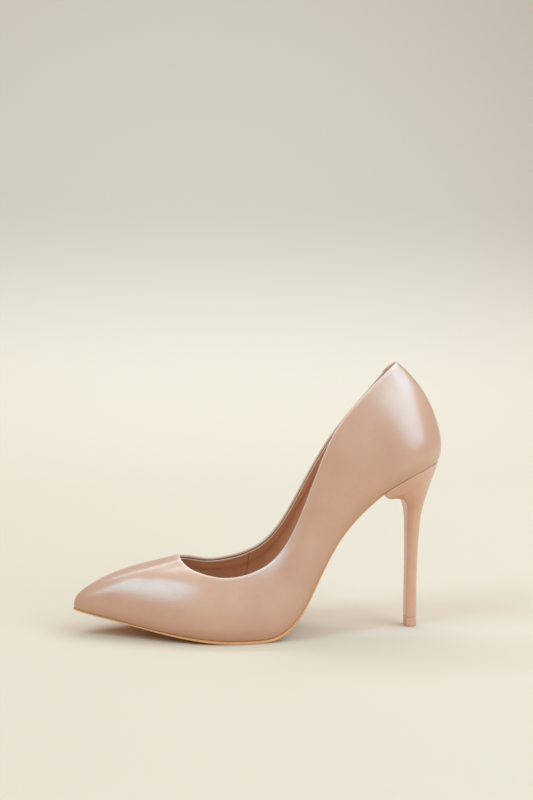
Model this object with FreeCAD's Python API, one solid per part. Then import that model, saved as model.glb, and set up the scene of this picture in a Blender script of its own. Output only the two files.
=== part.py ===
"""High heel pump: a pointed-toe court shoe on a 100 mm stiletto heel.

One left shoe in millimetres. The toe points along -X, the outer (lateral) side faces -Y and +Z is up.
While it is drawn, x runs from the toe tip to the back of the heel. At the end every piece is moved
so that the origin is the middle of the base of the whole shoe's box.
"""
import FreeCAD, Part
import math
import os

Vec = FreeCAD.Vector

# ---- leather, board and glue line thicknesses -------------------------------------------------------
UPPER = 1.0            # upper leather
FOLD = 0.45            # edge allowance of the upper, skived and folded to the inside
TAPE = 0.2             # nylon tape inside the folded edge
STIFFENER = 0.8        # toe puff and heel counter at full thickness
SKIVED = 0.3           # the same two at their thinned edges
LINING = 0.7
GLUE = 0.12            # glue line between two layers
OUTSOLE = 1.9          # outsole under the forepart
OUTSOLE_WAIST = 0.9    # outsole where it is thinned under the arch
OUTSOLE_TOE = 0.9      # and at the toe tip
INSOLE_BOARD = 1.4
SHANK_BOARD = 1.2
SOCK = 0.7
FOREPART_PAD = 2.0
HEEL_PAD = 2.5
TAB = 0.5              # leather of the tab over the back of the topline

# ---- topline ----------------------------------------------------------------------------------------
WALL_FACE = UPPER + GLUE                 # where the layer behind the upper starts
RIM = UPPER + TAPE + FOLD + 2.0 * GLUE   # thickness of the folded topline
FOLD_START = RIM - FOLD
FOLD_CREASE = 0.3      # the fold's crease, below the topline
FOLD_DEPTH = 6.0       # how far the folded allowance reaches down inside
FOLD_FADE = (6.5, 11.0)    # where the lining closes up again below the folded allowance
LINING_DROP = 0.6      # trimmed edge of the lining, below the topline
LINING_DROPS = (11.0, 9.0, 7.0, 4.5, LINING_DROP)
LINING_BEND = 13.0     # the lining's rows are evenly spaced below this drop
TAPE_DROP = 0.6
TAPE_WIDTH = 4.5
TAB_PLACES = (-0.038, -0.005)    # the tab's two sides, on the inner side of the back
TAB_DROP = 6.5         # how far its two flaps hang down
TAB_CLEAR = 0.25       # between the lining and the tab's inner flap

# ---- pieces of the wall, as places round the shoe and fractions of the way up it ---------------------
BACK = 0.0             # the back seam, then the outer side
TOE = 0.5              # the toe, then the inner side back to 1
VAMP_LINING = (0.305, 0.695)
QUARTER_LINING = (-0.303, 0.303)
COUNTER_REACH, COUNTER_TOP = 0.17, 0.70
PUFF_REACH, PUFF_TOP = 0.12, 0.40
SPREAD = 0.03          # the lining closes up this far inside and outside a stiffener's end
COUNTER_CREST = (0.62, 0.80)
PUFF_CREST = (0.30, 0.50)
SQUARE_FOOT = 0.15     # fraction of the wall over which offsets turn to lie along the sole

# ---- lasting margin: the upper's edge turned under the insole board ----------------------------------
MARGIN_WIDTH = 13.0
MARGIN_SHARE = 0.55    # most of the way to the spine that the margin may cover
SPINE_START, SPINE_END = 30.0, 196.0
MARGIN_ROWS = (0.4, 0.7, 1.0)

# ---- bottom, with x from the toe tip -----------------------------------------------------------------
SHOE_START, SHOE_END = -2.0, 230.0       # cuts that clear both ends of the shoe
OUTSOLE_PROUD = 0.25   # the outsole's edge stands out from the feather line under the forepart
OUTSOLE_TUCK = 1.0     # and lies inside it under the arch
TUCK_START, TUCK_END = 118.0, 145.0
WAIST_END = 165.0      # the outsole is thinned from TUCK_START to here
TOE_SKIVE_START = 20.0    # and from the tread to here towards the toe
SOLE_END = 184.2
BOARD_INSET = 2.9      # of the boards, inside the feather line
SOCK_INSET = 3.0
SHANK_BOARD_START, SHANK_BOARD_FULL = 112.0, 128.0
SHANK_BOARD_CUT = 117.0
FILLER_START, FILLER_END = 8.0, 116.0
FOREPART_PAD_ENDS, FOREPART_PAD_INSET = (69.0, 119.0), 7.0
FOREPART_PAD_RAMPS = ((66.0, 80.0), (108.0, 122.0))
HEEL_PAD_ENDS, HEEL_PAD_INSET = (171.0, 213.0), 6.0
HEEL_PAD_RAMPS = ((168.0, 182.0), (200.0, 215.0))
SHANK_START, SHANK_END, SHANK_WIDTH = 119.0, 203.0, 11.0
RIVET_PLACES, RIVET_RADIUS = (130.0, 172.0), 1.5

# ---- heel and its tip -------------------------------------------------------------------------------
TIP_HEIGHT = 5.8
HEEL_COVER = 0.6
STEM_X = 205.6         # axis of the stem, from the toe tip
TUBE_RADIUS = 2.2
TUBE_TOP = 66.0
PIN_RADIUS = 1.45
PIN_CLEARANCE = 0.03
PIN_LENGTH = 15.0      # above the tip
PIN_HEAD_RADIUS = 2.6
PIN_HEAD_HEIGHT = 1.6
PIN_HEAD_DEPTH = 0.8   # below the top of the tip
TIP_GAP = 0.1          # between the tip and the stem
TUBE_LIFT = 0.2        # end of the tube, above the tip
TUBE_CAP = 3.0         # closed top of the tube

# ---- heel, seat and the fixings that hold it ----------------------------------------------------------
# Sections of the heel from under the seat to the top of the tip: the (x, z) of the flat front and of
# the back, and half the width at the front and at the widest point.
HEEL_SECTIONS = [
    ((187.2, 81.4), (220.3, 97.0), 20.6, 21.0),
    ((194.6, 80.4), (218.0, 90.8), 15.0, 15.8),
    ((200.4, 77.0), (215.6, 83.2), 9.6, 10.8),
    ((202.2, 69.3), (212.6, 72.6), 6.3, 7.3),
    ((202.4, 57.0), (210.7, 59.0), 5.1, 5.7),
    ((202.3, 38.0), (209.5, 39.0), 4.4, 4.8),
    ((202.0, 20.0), (209.2, 20.0), 4.2, 4.5),
    ((202.0, TIP_HEIGHT), (209.2, TIP_HEIGHT), 4.2, 4.5),
]
SEAT_FRONT, SEAT_BACK = 185.0, 221.7
SEAT_CAP = 12.0        # the blank starts this far above the seat and is cut back to it
SEAT_CLEAR = 36.0      # the cut reaches this far above the seat and in front of it
ROUND_START = 0.3      # how far back the flat-sided stretch of a section reaches
OUTLINE_STEPS = 7
CORE_OVERRUN = 2.0     # the core's blank is this much longer at the bottom before it is cut flat
SCREW_X = 196.0
SCREW_RADIUS, SCREW_HEAD_RADIUS, SCREW_DEPTH = 1.8, 3.4, 20.0
NAIL_RADIUS, NAIL_HEAD_RADIUS, NAIL_DEPTH = 0.9, 1.8, 11.0
NAIL_HEAD = 0.5
NAIL_PLACES = ((194.0, 8.0), (194.0, -8.0), (207.5, 5.0), (207.5, -5.0))
HEAD_SINK = 0.3        # heads of the fixings, below the top of the insole board
THROUGH = 8.0          # holes are cut from this far below to this far above

# ---- sole profile: the feather line, seen from the side, as (x, z) ------------------------------------
TREAD_FRONT = 96.0     # the sole lies flat on the ground between these two
TREAD_BACK = 110.0
TOE_PROFILE = [(0.0, 15.4), (10.9, 13.4), (28.9, 10.2), (52.3, 6.2), (75.2, 3.2), (88.0, 2.1),
               (TREAD_FRONT, OUTSOLE)]
ARCH_PROFILE = [(TREAD_BACK, OUTSOLE), (116.0, 2.4), (121.8, 4.2), (133.8, 14.6), (145.9, 36.4),
                (158.0, 57.8), (169.9, 72.0), (181.8, 82.9), (193.5, 90.4), (206.8, 96.9),
                (214.5, 99.8), (224.0, 102.8)]

# ---- ribs of the outer surface, from the feather line up to the topline -------------------------------
# Each rib is the (x, y) of its foot on the feather line, then four (x, y, z) points up to the topline.
# These are the ribs of the back, the outer side and the toe. The last three numbers shape the matching
# rib of the inner side: its foot's width against the outer one, its shift back, and its topline's rise.
RIBS = [
    ((221.7, 0.0), (223.4, 0.0, 108.5), (221.5, 0.0, 124.0), (213.4, 0.0, 142.8), (196.6, 0.0, 161.8),
     1.0, 0.0, 0.0),
    ((216.5, -13.0), (218.3, -14.6, 109.0), (216.6, -13.6, 123.0), (209.8, -10.4, 140.5),
     (192.5, -6.5, 158.8), 0.97, 0.0, -0.5),
    ((203.0, -22.8), (203.5, -25.6, 104.0), (203.0, -24.6, 117.5), (198.0, -20.2, 134.6),
     (184.7, -12.6, 152.7), 0.97, 0.0, -4.0),
    ((183.0, -24.0), (182.0, -26.8, 93.0), (180.0, -27.6, 106.5), (176.5, -25.6, 122.2),
     (170.8, -19.4, 140.2), 0.92, 0.0, -8.7),
    ((160.5, -23.8), (159.5, -26.8, 71.0), (158.0, -28.4, 84.5), (156.0, -27.8, 100.5),
     (154.2, -23.9, 120.0), 0.76, 0.0, -11.7),
    ((139.0, -27.0), (138.0, -30.0, 31.0), (137.0, -31.6, 45.0), (136.5, -30.4, 61.5),
     (136.2, -26.2, 77.5), 0.76, 0.0, -1.5),
    ((118.5, -33.6), (117.8, -36.6, 11.5), (117.5, -36.6, 22.5), (117.6, -33.2, 34.5),
     (118.0, -27.3, 46.5), 0.86, -2.0, 2.2),
    ((95.5, -36.8), (95.5, -39.4, 9.5), (95.5, -38.6, 18.5), (96.3, -34.2, 27.5), (98.0, -27.3, 37.2),
     0.92, -4.0, 2.7),
    ((68.5, -32.8), (68.7, -35.6, 10.5), (70.8, -35.0, 20.0), (75.0, -30.8, 29.5), (82.4, -24.6, 37.3),
     0.93, -3.0, 2.3),
    ((42.5, -22.6), (43.0, -24.8, 14.0), (48.5, -25.0, 24.5), (58.5, -22.4, 34.3), (71.4, -17.8, 40.0),
     0.92, -1.0, 2.4),
    ((20.5, -12.8), (21.0, -14.4, 17.5), (28.0, -15.2, 27.5), (44.0, -14.6, 36.6), (66.3, -12.2, 42.6),
     0.93, 0.0, 1.2),
    ((5.0, -5.6), (5.6, -6.2, 19.8), (14.5, -7.2, 28.6), (37.5, -7.6, 38.8), (63.6, -6.6, 45.1),
     0.95, 0.0, 0.2),
    ((0.6, 0.0), (1.4, 0.0, 20.6), (9.8, 0.0, 28.6), (34.3, 0.0, 39.2), (62.9, 0.0, 46.2),
     1.0, 0.0, 0.0),
]
RISE_SHARE = (0.0, 0.1, 0.35, 0.7, 1.0)    # how the topline's rise spreads down the rib

LOOP_STEPS = 104       # samples round the shoe
WALL_STEPS = 12        # samples up the wall
PLAN_STEPS = 96        # samples round a plan outline
SOLE_STEP = 2.0        # spacing of samples along the sole
NUDGE = 0.002          # small step round the shoe, for slopes
HALF_WIDTH = 60.0      # half the width of a slab that is cut to a plan outline
BELOW, PRISM_HEIGHT = -20.0, 200.0       # where plan prisms start, and how tall they are


# ---- sole profile -----------------------------------------------------------------------------------
def height_curve(points):
    """Curve through (x, z) points whose parameter is x itself."""
    curve = Part.BSplineCurve()
    curve.interpolate(Points=[Vec(x, 0, z) for x, z in points], Parameters=[x for x, z in points])
    return curve


TOE_CURVE = height_curve(TOE_PROFILE)
ARCH_CURVE = height_curve(ARCH_PROFILE)


def sole_point(x, lift):
    """Point at lift above the feather line, square to it, in the plane y = 0."""
    if TREAD_FRONT <= x <= TREAD_BACK:
        return Vec(x, 0, OUTSOLE + lift)
    curve = TOE_CURVE if x < TREAD_FRONT else ARCH_CURVE
    foot = curve.value(x)
    along = curve.tangent(x)[0]
    return Vec(foot.x - lift * along.z, 0, foot.z + lift * along.x)


def sole_height(x):
    return sole_point(x, 0.0).z


def sole_normal(x):
    return (sole_point(x, 1.0) - sole_point(x, 0.0)).normalize()


def sole_line(lift, start, end):
    """Edges of the feather line from start to end, raised by lift(x)."""
    spans = [(start, min(end, TREAD_FRONT)), (max(start, TREAD_FRONT), min(end, TREAD_BACK)),
             (max(start, TREAD_BACK), end)]
    edges = []
    for span_start, span_end in spans:
        length = span_end - span_start
        if length <= 0.0:
            continue
        count = max(2, int(length / SOLE_STEP))
        xs = [span_start + length * i / count for i in range(count + 1)]
        points = [sole_point(x, lift(x)) for x in xs]
        flat = TREAD_FRONT <= span_start and span_end <= TREAD_BACK
        if flat:
            edges.append(Part.LineSegment(points[0], points[-1]).toShape())
        else:
            curve = Part.BSplineCurve()
            curve.interpolate(Points=points)
            edges.append(curve.toShape())
    return edges


def sole_band(low, high, start, end):
    """Slab that follows the sole's profile between two lifts, right across the shoe."""
    low_edges = sole_line(low, start, end)
    high_edges = sole_line(high, start, end)
    back_edge = Part.LineSegment(low_edges[-1].Vertexes[-1].Point, high_edges[-1].Vertexes[-1].Point)
    front_edge = Part.LineSegment(low_edges[0].Vertexes[0].Point, high_edges[0].Vertexes[0].Point)
    wire = Part.Wire(Part.__sortEdges__(low_edges + [back_edge.toShape()] + high_edges
                                        + [front_edge.toShape()]))
    face = Part.Face(wire)
    face.translate(Vec(0, -HALF_WIDTH, 0))
    return face.extrude(Vec(0, 2 * HALF_WIDTH, 0))


def level(value):
    return lambda x: value


def ramp(x, start, end):
    """0 before start, 1 after end, smooth between."""
    u = min(1.0, max(0.0, (x - start) / (end - start)))
    return u * u * (3.0 - 2.0 * u)


# ---- outer surface ----------------------------------------------------------------------------------
def rib_points(rib):
    foot = rib[0]
    return [Vec(foot[0], foot[1], sole_height(foot[0]))] + [Vec(*point) for point in rib[1:5]]


def inner_rib_points(rib):
    """The outer side's rib, mirrored and fitted to the inner side."""
    foot_width, shift, rise = rib[5:]
    points = []
    for k, point in enumerate(rib_points(rib)):
        width = foot_width + (1.0 - foot_width) * k / 4.0
        x = point.x + shift
        z = sole_height(x) if k == 0 else point.z + rise * RISE_SHARE[k]
        points.append(Vec(x, -point.y * width, z))
    return points


def make_row_curves():
    """Five closed curves round the shoe, from the feather line (row 0) to the topline (row 4)."""
    stations = [rib_points(rib) for rib in RIBS]
    stations += [inner_rib_points(rib) for rib in reversed(RIBS[1:-1])]
    count = len(stations)
    steps = [sum((stations[i][k] - stations[(i + 1) % count][k]).Length for k in range(5))
             for i in range(count)]
    lengths = [step ** 0.75 for step in steps]
    toe_index = len(RIBS) - 1
    outer_total = sum(lengths[:toe_index])
    inner_total = sum(lengths[toe_index:])
    places = [0.0]
    for i, length in enumerate(lengths):
        total = outer_total if i < toe_index else inner_total
        places.append(places[-1] + 0.5 * length / total)
    curves = []
    for k in range(5):
        curve = Part.BSplineCurve()
        curve.interpolate(Points=[station[k] for station in stations], PeriodicFlag=True,
                          Parameters=places)
        curves.append(curve)
    return curves


ROW_CURVES = make_row_curves()


class Rib:
    """The outer surface's curve from the feather line (t = 0) to the topline (t = 1) at loop place s."""

    def __init__(self, s):
        points = [curve.value(s % 1.0) for curve in ROW_CURVES]
        points[0].z = sole_height(points[0].x)
        chords = [(points[k + 1] - points[k]).Length for k in range(4)]
        self.length = sum(chords)
        places = [sum(chords[:k]) / self.length for k in range(5)]
        self.curve = Part.BSplineCurve()
        self.curve.interpolate(Points=points, Parameters=places)

    def point(self, t):
        return self.curve.value(min(1.0, max(0.0, t)))

    def along(self, t):
        return self.curve.tangent(min(1.0, max(0.0, t)))[0]


class Station:
    """A rib with the directions square to the surface, for offsets towards the foot."""

    def __init__(self, s):
        self.s = s
        self.rib = Rib(s)
        self.before = Rib(s - NUDGE)
        self.after = Rib(s + NUDGE)
        self.length = self.rib.length

    def inward(self, t):
        round_shoe = self.after.point(t) - self.before.point(t)
        normal = round_shoe.cross(self.rib.along(t)).normalize()
        foot_share = max(0.0, 1.0 - t / SQUARE_FOOT)
        if foot_share > 0.0:
            up = sole_normal(self.rib.point(0.0).x)
            normal = normal - up * (normal.dot(up) * foot_share)
            normal.normalize()
        return normal

    def at(self, t, depth):
        """Point at fraction t up the wall, depth inside the outer surface."""
        return self.rib.point(t) + self.inward(t) * depth

    def below_top(self, drop, depth):
        """Point at a distance below the topline."""
        return self.at(1.0 - drop / self.length, depth)

    def over_top(self, turn, depth, width, height):
        """Point on the half oval that runs over the topline, from depth to depth + width."""
        side = depth + width / 2.0 * (1.0 - math.cos(turn))
        return self.at(1.0, side) + self.rib.along(1.0) * (height * math.sin(turn))


STATIONS = [Station(i / LOOP_STEPS) for i in range(LOOP_STEPS)]


def loop_distance(s, centre):
    gap = abs(s % 1.0 - centre)
    return min(gap, 1.0 - gap)


def packing(station, t):
    """Depth of stiffener or folded edge between the upper and the lining."""
    def share(centre, reach, crest):
        away = ramp(loop_distance(station.s, centre), reach - SPREAD, reach + SPREAD)
        return (1.0 - away) * (1.0 - ramp(t, *crest))

    drop = (1.0 - t) * station.length
    stiff = (STIFFENER + GLUE) * max(share(BACK, COUNTER_REACH, COUNTER_CREST),
                                     share(TOE, PUFF_REACH, PUFF_CREST))
    edge = (TAPE + FOLD + 3.0 * GLUE) * (1.0 - ramp(drop, *FOLD_FADE))
    return max(stiff, edge)


def fractions(count):
    return [k / count for k in range(count + 1)]


# ---- surfaces through loops of points ---------------------------------------------------------------
def spline_through(points, places, closed):
    curve = Part.BSplineCurve()
    if closed:
        curve.interpolate(Points=points, PeriodicFlag=True, Parameters=places)
    else:
        curve.interpolate(Points=points, Parameters=places)
    return curve


def skin(rows, closed, cross_places=None):
    """Face through rows of points. Rows that two faces share give them the same edge."""
    count = len(rows[0])
    places = [i / (count if closed else count - 1) for i in range(count + (1 if closed else 0))]
    row_curves = [spline_through(row, places, closed) for row in rows]
    row_poles = [curve.getPoles() for curve in row_curves]
    knots = row_curves[0].getKnots()
    mults = row_curves[0].getMultiplicities()
    if len(rows) == 2:
        columns = [[row_poles[0][i], row_poles[1][i]] for i in range(len(row_poles[0]))]
        cross_knots, cross_mults, cross_degree = [0.0, 1.0], [2, 2], 1
    else:
        cross_places = cross_places or fractions(len(rows) - 1)
        cross = [spline_through([poles[i] for poles in row_poles], cross_places, False)
                 for i in range(len(row_poles[0]))]
        columns = [curve.getPoles() for curve in cross]
        cross_knots, cross_mults = cross[0].getKnots(), cross[0].getMultiplicities()
        cross_degree = cross[0].Degree
    surface = Part.BSplineSurface()
    surface.buildFromPolesMultsKnots(columns, mults, cross_mults, knots, cross_knots, closed, False,
                                     row_curves[0].Degree, cross_degree)
    return surface.toShape()


def solid_from(faces):
    shell = Part.Shell(faces)
    shell.sewShape(1e-4)
    solid = Part.Solid(shell)
    if solid.Volume < 0:
        solid.reverse()
    return solid


def ring_solid(groups):
    """Solid ring from groups of closed loops, each group one face, each starting where the last ended."""
    return solid_from([skin(group, True) for group in groups])


def slab_solid(outer_rows, inner_rows):
    """Curved slab between two open sheets with the same rows."""
    faces = [skin(outer_rows, False), skin(inner_rows, False)]
    for k in (0, -1):
        faces.append(skin([outer_rows[k], inner_rows[k]], False))
    for i in (0, -1):
        outer_side = [row[i] for row in outer_rows]
        inner_side = [row[i] for row in inner_rows]
        faces.append(skin([outer_side, inner_side], False))
    return solid_from(faces)


def loops(stations, places, point):
    """One row of points for each place, with point(station, place)."""
    return [[point(station, place) for station in stations] for place in places]


# ---- plan outlines ----------------------------------------------------------------------------------
def plan_loop(inset):
    """The feather line in plan, moved inwards by inset(x), as a list of points."""
    points = [ROW_CURVES[0].value(i / PLAN_STEPS) for i in range(PLAN_STEPS)]
    moved = []
    for i, point in enumerate(points):
        along = points[(i + 1) % PLAN_STEPS] - points[i - 1]
        inward = Vec(along.y, -along.x, 0).normalize()
        moved.append(Vec(point.x, point.y, 0) + inward * inset(point.x))
    return moved


def plan_prism(points):
    curve = Part.BSplineCurve()
    curve.interpolate(Points=[Vec(p.x, p.y, BELOW) for p in points], PeriodicFlag=True)
    return Part.Face(Part.Wire(curve.toShape())).extrude(Vec(0, 0, PRISM_HEIGHT))


def sole_layer(inset, low, high, start, end):
    """Piece of sheet that follows the sole between two lifts, inside the feather line."""
    return plan_prism(plan_loop(inset)).common(sole_band(low, high, start, end))


# ---- lasting margin ------------------------------------------------------------------------------------
def margin_inner(foot):
    """Plan point where the margin that starts at this point of the feather line ends."""
    spine = Vec(min(SPINE_END, max(SPINE_START, foot.x)), 0.0, 0.0)
    across = spine - Vec(foot.x, foot.y, 0.0)
    width = MARGIN_WIDTH * math.tanh(MARGIN_SHARE * across.Length / MARGIN_WIDTH)
    return Vec(foot.x, foot.y, 0.0) + across.normalize() * width


def margin_point(station, share, lift):
    """Point on the margin, from the feather line (share 0) to its inner edge (share 1)."""
    foot = station.rib.point(0.0)
    flat = Vec(foot.x, foot.y, 0.0)
    plan = flat + (margin_inner(foot) - flat) * share
    raised = sole_point(plan.x, lift)
    return Vec(raised.x, plan.y, raised.z)


def hollow_prism(gap):
    """Prism of the hollow that the margins leave, a gap smaller all round."""
    inner = [margin_inner(station.rib.point(0.0)) for station in STATIONS]
    count = len(inner)
    points = []
    for i, point in enumerate(inner):
        along = inner[(i + 1) % count] - inner[i - 1]
        points.append(point + Vec(along.y, -along.x, 0).normalize() * gap)
    return plan_prism(points)


# ---- upper and what is inside its walls ---------------------------------------------------------------

def make_upper():
    def wall(depth, places):
        return loops(STATIONS, places, lambda st, t: st.at(t, depth))

    def fold(depth, drops):
        return loops(STATIONS, drops, lambda st, drop: st.below_top(drop, depth))

    def margin(lift, shares):
        return loops(STATIONS, shares, lambda st, share: margin_point(st, share, lift))

    outside = wall(0.0, fractions(WALL_STEPS))
    over = loops(STATIONS, fractions(4),
                 lambda st, k: st.over_top(math.pi * k, 0.0, RIM, RIM / 2.0))
    over[0], over[-1] = outside[-1], fold(RIM, [0.0])[0]
    fold_inside = fold(RIM, [0.0, 0.5 * FOLD_DEPTH, FOLD_DEPTH])
    fold_outside = fold(FOLD_START, [FOLD_DEPTH, 0.5 * FOLD_DEPTH, FOLD_CREASE])
    inside = loops(STATIONS, [1.0 - k for k in fractions(WALL_STEPS)],
                   lambda st, k: st.at((UPPER + k * (st.length - UPPER - FOLD_CREASE)) / st.length, UPPER))
    margin_top = [inside[-1]] + margin(UPPER, MARGIN_ROWS)
    margin_under = margin(0.0, MARGIN_ROWS[::-1]) + [outside[0]]
    return ring_solid([outside, over, fold_inside, [fold_inside[-1], fold_outside[0]], fold_outside,
                       [fold_outside[-1], inside[0]], inside, margin_top,
                       [margin_top[-1], margin_under[0]], margin_under])


def make_topline_tape():
    def rows(depth, drops):
        return loops(STATIONS, drops, lambda st, drop: st.below_top(drop, depth))

    drops = [TAPE_DROP, TAPE_DROP + 0.5 * TAPE_WIDTH, TAPE_DROP + TAPE_WIDTH]
    outer = rows(WALL_FACE, drops)
    inner = rows(WALL_FACE + TAPE, drops[::-1])
    return ring_solid([outer, [outer[-1], inner[0]], inner, [inner[-1], outer[0]]])


def stations_between(start, end):
    count = max(8, round((end - start) * LOOP_STEPS))
    return [Station(start + (end - start) * i / count) for i in range(count + 1)]


def wall_slab(start, end, heights, depth, thickness):
    """Sheet behind the upper, between two places round the shoe, with its rows at heights(station)."""
    stations = stations_between(start, end)
    outer, inner = [], []
    for k in range(len(heights(stations[0]))):
        places = [heights(station)[k] for station in stations]
        outer.append([st.at(t, depth(st, t)) for st, t in zip(stations, places)])
        inner.append([st.at(t, depth(st, t) + thickness(st, t)) for st, t in zip(stations, places)])
    return slab_solid(outer, inner)


def lining_heights(station):
    low = WALL_FACE / station.length
    bend = 1.0 - LINING_BEND / station.length
    rows = [low + (bend - low) * k for k in fractions(8)]
    return rows + [1.0 - drop / station.length for drop in LINING_DROPS]


def make_lining(start, end):
    return wall_slab(start, end, lining_heights, lambda st, t: WALL_FACE + packing(st, t),
                     lambda st, t: LINING)


def stiffener_thickness(station, t):
    return max(SKIVED, packing(station, t) - GLUE)


def make_stiffener(centre, reach, top):
    """Moulded sheet between the upper and the lining, thinned towards its edges."""
    def heights(station):
        low = WALL_FACE / station.length
        return [low + (top - low) * k for k in fractions(6)]

    return wall_slab(centre - reach, centre + reach, heights, lambda st, t: WALL_FACE,
                     stiffener_thickness)


def make_back_tab():
    """Leather tab that is folded over the topline beside the back seam."""
    stations = stations_between(*TAB_PLACES)
    inner_face = RIM + GLUE + LINING + TAB_CLEAR

    def rows(lift):
        outer, inner, height = -GLUE - lift, inner_face + lift, RIM / 2.0 + GLUE + lift
        drops = (TAB_DROP, 0.5 * TAB_DROP)
        outside = [[st.below_top(drop, outer) for st in stations] for drop in drops]
        over = [[st.over_top(math.pi * k, outer, inner - outer, height) for st in stations]
                for k in fractions(6)]
        inside = [[st.below_top(drop, inner) for st in stations] for drop in reversed(drops)]
        return outside + over + inside

    return slab_solid(rows(TAB), rows(0.0))


# ---- bottom -------------------------------------------------------------------------------------------
def shank_board_thickness(x):
    return SHANK_BOARD * ramp(x, SHANK_BOARD_START, SHANK_BOARD_FULL)


def board_low(x):
    return WALL_FACE + shank_board_thickness(x) + GLUE


def board_top(x):
    return board_low(x) + INSOLE_BOARD


def hump(x, ramps):
    return ramp(x, *ramps[0]) * (1.0 - ramp(x, *ramps[1]))


def pad_thickness(x):
    return FOREPART_PAD * hump(x, FOREPART_PAD_RAMPS) + HEEL_PAD * hump(x, HEEL_PAD_RAMPS)


def make_outsole():
    def inset(x):
        return -OUTSOLE_PROUD + (OUTSOLE_PROUD + OUTSOLE_TUCK) * ramp(x, TUCK_START, TUCK_END)

    def low(x):
        thinned = (OUTSOLE - OUTSOLE_WAIST) * ramp(x, TUCK_START, WAIST_END)
        skived = (OUTSOLE - OUTSOLE_TOE) * (1.0 - ramp(x, TOE_SKIVE_START, TREAD_FRONT))
        return -OUTSOLE + thinned + skived

    return sole_layer(inset, low, level(-GLUE), SHOE_START, SOLE_END)


def make_forepart_filler():
    return hollow_prism(GLUE).common(sole_band(level(GLUE), level(UPPER), FILLER_START, FILLER_END))


def strip_plan(start, end, width):
    """Prism of a straight strip with round ends."""
    radius = width / 2.0
    corners = [Vec(start + radius, -radius, BELOW), Vec(end - radius, -radius, BELOW),
               Vec(end - radius, radius, BELOW), Vec(start + radius, radius, BELOW)]
    edges = [Part.LineSegment(corners[0], corners[1]).toShape(),
             Part.Arc(corners[1], Vec(end, 0, BELOW), corners[2]).toShape(),
             Part.LineSegment(corners[2], corners[3]).toShape(),
             Part.Arc(corners[3], Vec(start, 0, BELOW), corners[0]).toShape()]
    return Part.Face(Part.Wire(edges)).extrude(Vec(0, 0, PRISM_HEIGHT))


def peg(x, y, radius, low, high):
    """Cylinder square to the sole at x, between two lifts."""
    base = sole_point(x, low)
    return Part.makeCylinder(radius, high - low, Vec(base.x, y, base.z), sole_normal(x))


def make_shank():
    return strip_plan(SHANK_START, SHANK_END, SHANK_WIDTH).common(
        sole_band(level(GLUE), level(UPPER), SHANK_START - 1.0, SHANK_END + 1.0))


def make_rivets():
    return [peg(x, 0.0, RIVET_RADIUS, GLUE, WALL_FACE + SHANK_BOARD) for x in RIVET_PLACES]


def rivet_holes():
    return [peg(x, 0.0, RIVET_RADIUS, -THROUGH, THROUGH) for x in RIVET_PLACES]


def make_shank_board():
    return sole_layer(level(BOARD_INSET), level(WALL_FACE),
                      lambda x: WALL_FACE + shank_board_thickness(x), SHANK_BOARD_CUT, SHOE_END)


def make_insole_board():
    return sole_layer(level(BOARD_INSET), board_low, board_top, SHOE_START, SHOE_END)


def pad_low(x):
    return board_top(x) + GLUE


def sock_low(x):
    return pad_low(x) + pad_thickness(x) + GLUE


def make_pad(ends, inset):
    return sole_layer(level(inset), pad_low, lambda x: pad_low(x) + pad_thickness(x), *ends)


def make_sock():
    return sole_layer(level(SOCK_INSET), sock_low, lambda x: sock_low(x) + SOCK, SHOE_START, SHOE_END)


# ---- heel ---------------------------------------------------------------------------------------------
def outline_shares():
    """How far back the points of a side lie, from the flat front to where it meets the back."""
    turns = [math.pi / 2.0 * step / OUTLINE_STEPS for step in range(OUTLINE_STEPS)]
    return [0.0] + [ROUND_START + (1.0 - ROUND_START) * math.sin(turn) for turn in turns]


def feather_point(x, first, last):
    """Point of the feather line at x, between two places where x falls all the way."""
    for _ in range(40):
        middle = 0.5 * (first + last)
        if ROW_CURVES[0].value(middle).x > x:
            first = middle
        else:
            last = middle
    return ROW_CURVES[0].value(first)


def seat_outline(inset, cap):
    """The seat's outline on the feather line, or in a flat plane above it."""
    xs = [SEAT_FRONT + (SEAT_BACK - SEAT_FRONT) * share for share in outline_shares()]
    outer = [feather_point(x, 0.0, 0.25) for x in xs]
    inner = [feather_point(x, 1.0, 0.75) for x in reversed(xs)]
    points = outer + [ROW_CURVES[0].value(0.0)] + inner
    middle = 0.5 * (SEAT_FRONT + SEAT_BACK)
    slope = (sole_height(SEAT_BACK) - sole_height(SEAT_FRONT)) / (SEAT_BACK - SEAT_FRONT)
    outline = []
    for point in points:
        towards = Vec(middle - point.x, -point.y, 0.0).normalize()
        moved = point + towards * inset
        flat = sole_height(SEAT_FRONT) + slope * (moved.x - SEAT_FRONT) + SEAT_CAP
        outline.append(Vec(moved.x, moved.y, flat if cap else sole_height(moved.x)))
    return outline


def heel_outline(section, inset):
    """D-shaped outline in the plane of the section's own slope: points round the side and the back."""
    (front_x, front_z), (back_x, back_z), front_half, widest = section
    front, back = Vec(front_x, 0, front_z), Vec(back_x, 0, back_z)
    deep = (back - front).normalize()
    front, back = front + deep * inset, back - deep * inset
    length = (back - front).Length
    side = []
    for step, share in enumerate(outline_shares()):
        turn = math.pi / 2.0 * (step - 1) / OUTLINE_STEPS
        half = front_half - inset if step == 0 else (widest - inset) * math.cos(turn)
        side.append(front + deep * (length * share) - Vec(0, half, 0))
    mirrored = [Vec(point.x, -point.y, point.z) for point in reversed(side)]
    return side + [back] + mirrored


def outline_face(outline):
    arc = spline_through(outline, fractions(len(outline) - 1), False)
    chord = Part.LineSegment(outline[-1], outline[0])
    return Part.Face(Part.Wire([arc.toShape(), chord.toShape()]))


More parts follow.
